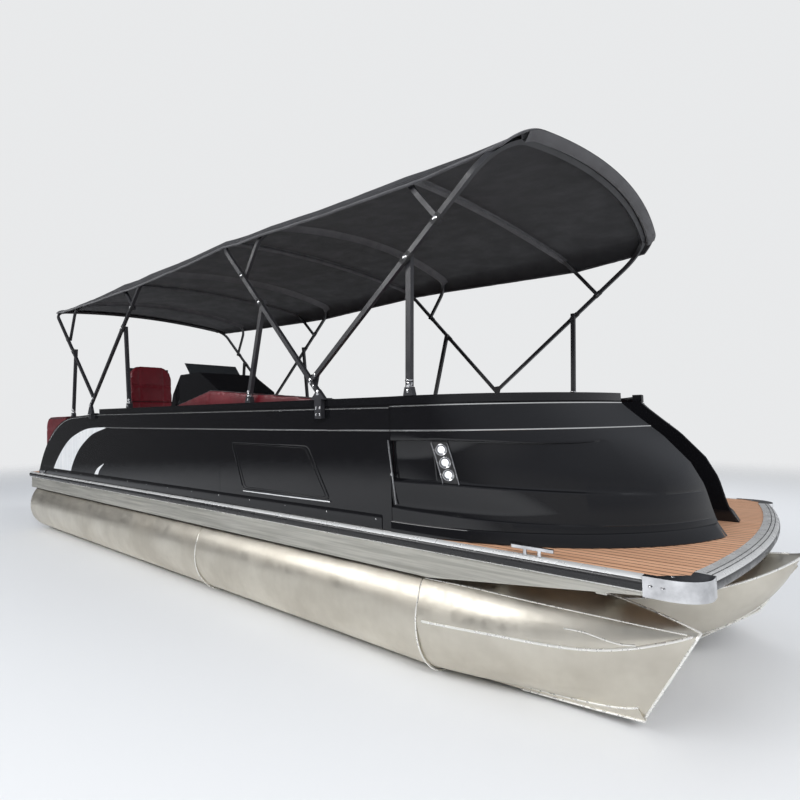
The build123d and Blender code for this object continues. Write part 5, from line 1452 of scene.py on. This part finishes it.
for y, radius in ((-0.80, 0.040), (-0.65, 0.048), (-0.50, 0.040)):
    spot, facing, place = on_dash(0.42, y)
    cable(rims, ring(place, radius, 0.004, 36), 0.0042, 10, closed=True)
    rod(dials, spot - facing * 0.001, spot + facing * 0.004, radius * 0.96, 36)
    for i in range(9):
        turn = radians(225 - 33.75 * i)
        away = place.to_3x3() @ Vector((cos(turn), sin(turn), 0)) * radius
        rod(rims, spot + away * 0.70 + facing * 0.0046, spot + away * 0.86 + facing * 0.0046, 0.0012, 6)
    away = place.to_3x3() @ Vector((-0.6, 0.8, 0)) * radius
    rod(rims, spot + facing * 0.006 - away * 0.12, spot + facing * 0.006 + away * 0.62, 0.0013, 6)
    rod(rims, spot + facing * 0.003, spot + facing * 0.0085, 0.005, 12)
for i in range(6):
    y = -0.83 + 0.072 * i
    block(knobs, on_dash(0.30, y, 0.003)[2], (0.026, 0.040, 0.012), 0.003, 2)
    block(rims, on_dash(0.30, y, 0.0005)[2], (0.032, 0.046, 0.004), 0.0015, 2)
spot, facing, place = on_dash(0.36, -0.395, 0.022)
block(knobs, place, (0.060, 0.120, 0.044), 0.010, 3)
lever = spot + facing * 0.035
rod(rims, lever, lever + Vector((0.045, 0, 0.115)), 0.007, 16)
rod(knobs, lever + Vector((0.040, -0.030, 0.120)), lever + Vector((0.040, 0.030, 0.120)), 0.016, 20)
keep("dash_dials", dials, rubber)
keep("dash_rims_and_pointers", rims, bright_metal)
keep("dash_switches_and_throttle", knobs, trim_black)

# %% Windscreen edging
form, screen = bmesh.new(), solid_of("helm_windscreen")
for level in (1.862, 1.958):
    for row in cut_rows(screen, 2, level):
        cable(form, evenly(row, 0.01)[:-1], 0.0030, 8, closed=True)
screen.free()
keep("windscreen_edging", form, rubber)

# %% Locker fronts
outlines, pulls = bmesh.new(), bmesh.new()
door_low, door_high, lounge_front, aft_front = 0.815, 1.045, 0.644, -1.3736


def on_face(face, level, a, z):
    """A point of an upright face: face is 0 for one that looks ahead or aft, 1 for port or starboard."""
    return Vector((level, a, z) if face == 0 else (a, level, z))


def door(face, level, start, width, out):
    """A door's outline and its pull on an upright face that looks out."""
    end = start + width
    corners = ((start, door_low), (end, door_low), (end, door_high), (start, door_high))
    line = [on_face(face, level, *p) for p in round_corners(corners, 0.035, 5)]
    cable(outlines, line, 0.0028, 8, closed=True)
    outward = on_face(face, out, 0, 0)
    middle = on_face(face, level, (start + end) / 2, door_high - 0.05)
    rod(pulls, middle, middle + outward * 0.006, 0.026, 28)
    block(pulls, turned(outward, middle + outward * 0.008), (0.012, 0.036, 0.008), 0.003, 2)


for x in (-1.06, -0.49, 0.08):
    door(1, lounge_front, x, 0.50, -1)
for x in (1.79, 2.42):
    door(1, lounge_front, x, 0.56, -1)
    door(1, -lounge_front, x, 0.56, 1)
for y in (-1.16, -0.59, -0.02):
    door(0, aft_front, y, 0.48, 1)
keep("locker_door_edges", outlines, rubber)
keep("locker_pulls", pulls, stainless)

# %% Gates
for body, face, level, span, heights, out in (
    ("bow_gate", 0, 3.7789, (-0.211, 0.210), (0.805, 1.470), 1),
    ("stern_gate", 0, -1.8661, (0.538, 1.209), (0.805, 1.365), -1),
    ("side_gate", 1, 1.2475, (0.758, 1.415), (0.805, 1.470), 1),
):
    tubes, latch = bmesh.new(), bmesh.new()
    outward = on_face(face, out, 0, 0)
    a0, a1, z0, z1 = span[0] + 0.024, span[1] - 0.024, heights[0] + 0.024, heights[1] - 0.024
    corners = [on_face(face, level, a, z) + outward * 0.001 for a, z in ((a0, z0), (a1, z0), (a1, z1), (a0, z1))]
    for i, corner in enumerate(corners):
        rod(tubes, corner, corners[(i + 1) % 4], 0.004, 12)
    spot = on_face(face, level, a0 + 0.035, z1 - 0.10) + outward * 0.004
    block(latch, turned(outward, spot), (0.090, 0.042, 0.010), 0.004, 3)
    rod(latch, spot, spot + outward * 0.009, 0.014, 24)
    keep(f"{body}_frame", tubes, bright_metal, body)
    keep(f"{body}_latch", latch, stainless, body)

# %% Cowl
spin = Matrix.Rotation(-radians(65), 4, "Y")
cowl = solid_of("outboard_cowl")
bmesh.ops.transform(cowl, matrix=spin, verts=cowl.verts)
low, high = span_of(cowl)
bands, dark = bmesh.new(), bmesh.new()
for share, radius, into in ((0.16, 0.0040, dark), (0.30, 0.0034, bands), (0.335, 0.0020, bands), (0.72, 0.0022, dark)):
    for row in cut_rows(cowl, 2, low[2] + (high[2] - low[2]) * share):
        line = [spin.inverted() @ p for p in evenly(row, 0.012)[:-1]]
        if max((p - q).length for p in line[::8] for q in line[::8]) > 0.25:
            cable(into, line, radius, 8, closed=True)
cowl.free()
keep("cowl_bright_bands", bands, bright_metal, "motor_head")
keep("cowl_seams", dark, rubber, "motor_head")

# %% Chair back shell
chair_skin = surface_of("helm_chair_frame")
shell_lines = bmesh.new()
for inset in (0.045, 0.062):
    y0, y1, z0, z1 = -0.910 + inset, -0.390 - inset, 1.30 + inset, 2.03 - inset
    outline = round_corners(((y0, z0), (y1, z0), (y1, z1), (y0, z1)), 0.08, 8)
    hits = [chair_skin.ray_cast(Vector((-1.4, *p)), (1, 0, 0))[0] for p in outline]
    hits = [hit for hit in hits if hit]
    if len(hits) > 20:
        cable(shell_lines, hits, 0.0035, 8, closed=True)
keep("helm_chair_shell_lines", shell_lines, satin_black, "helm_seat")
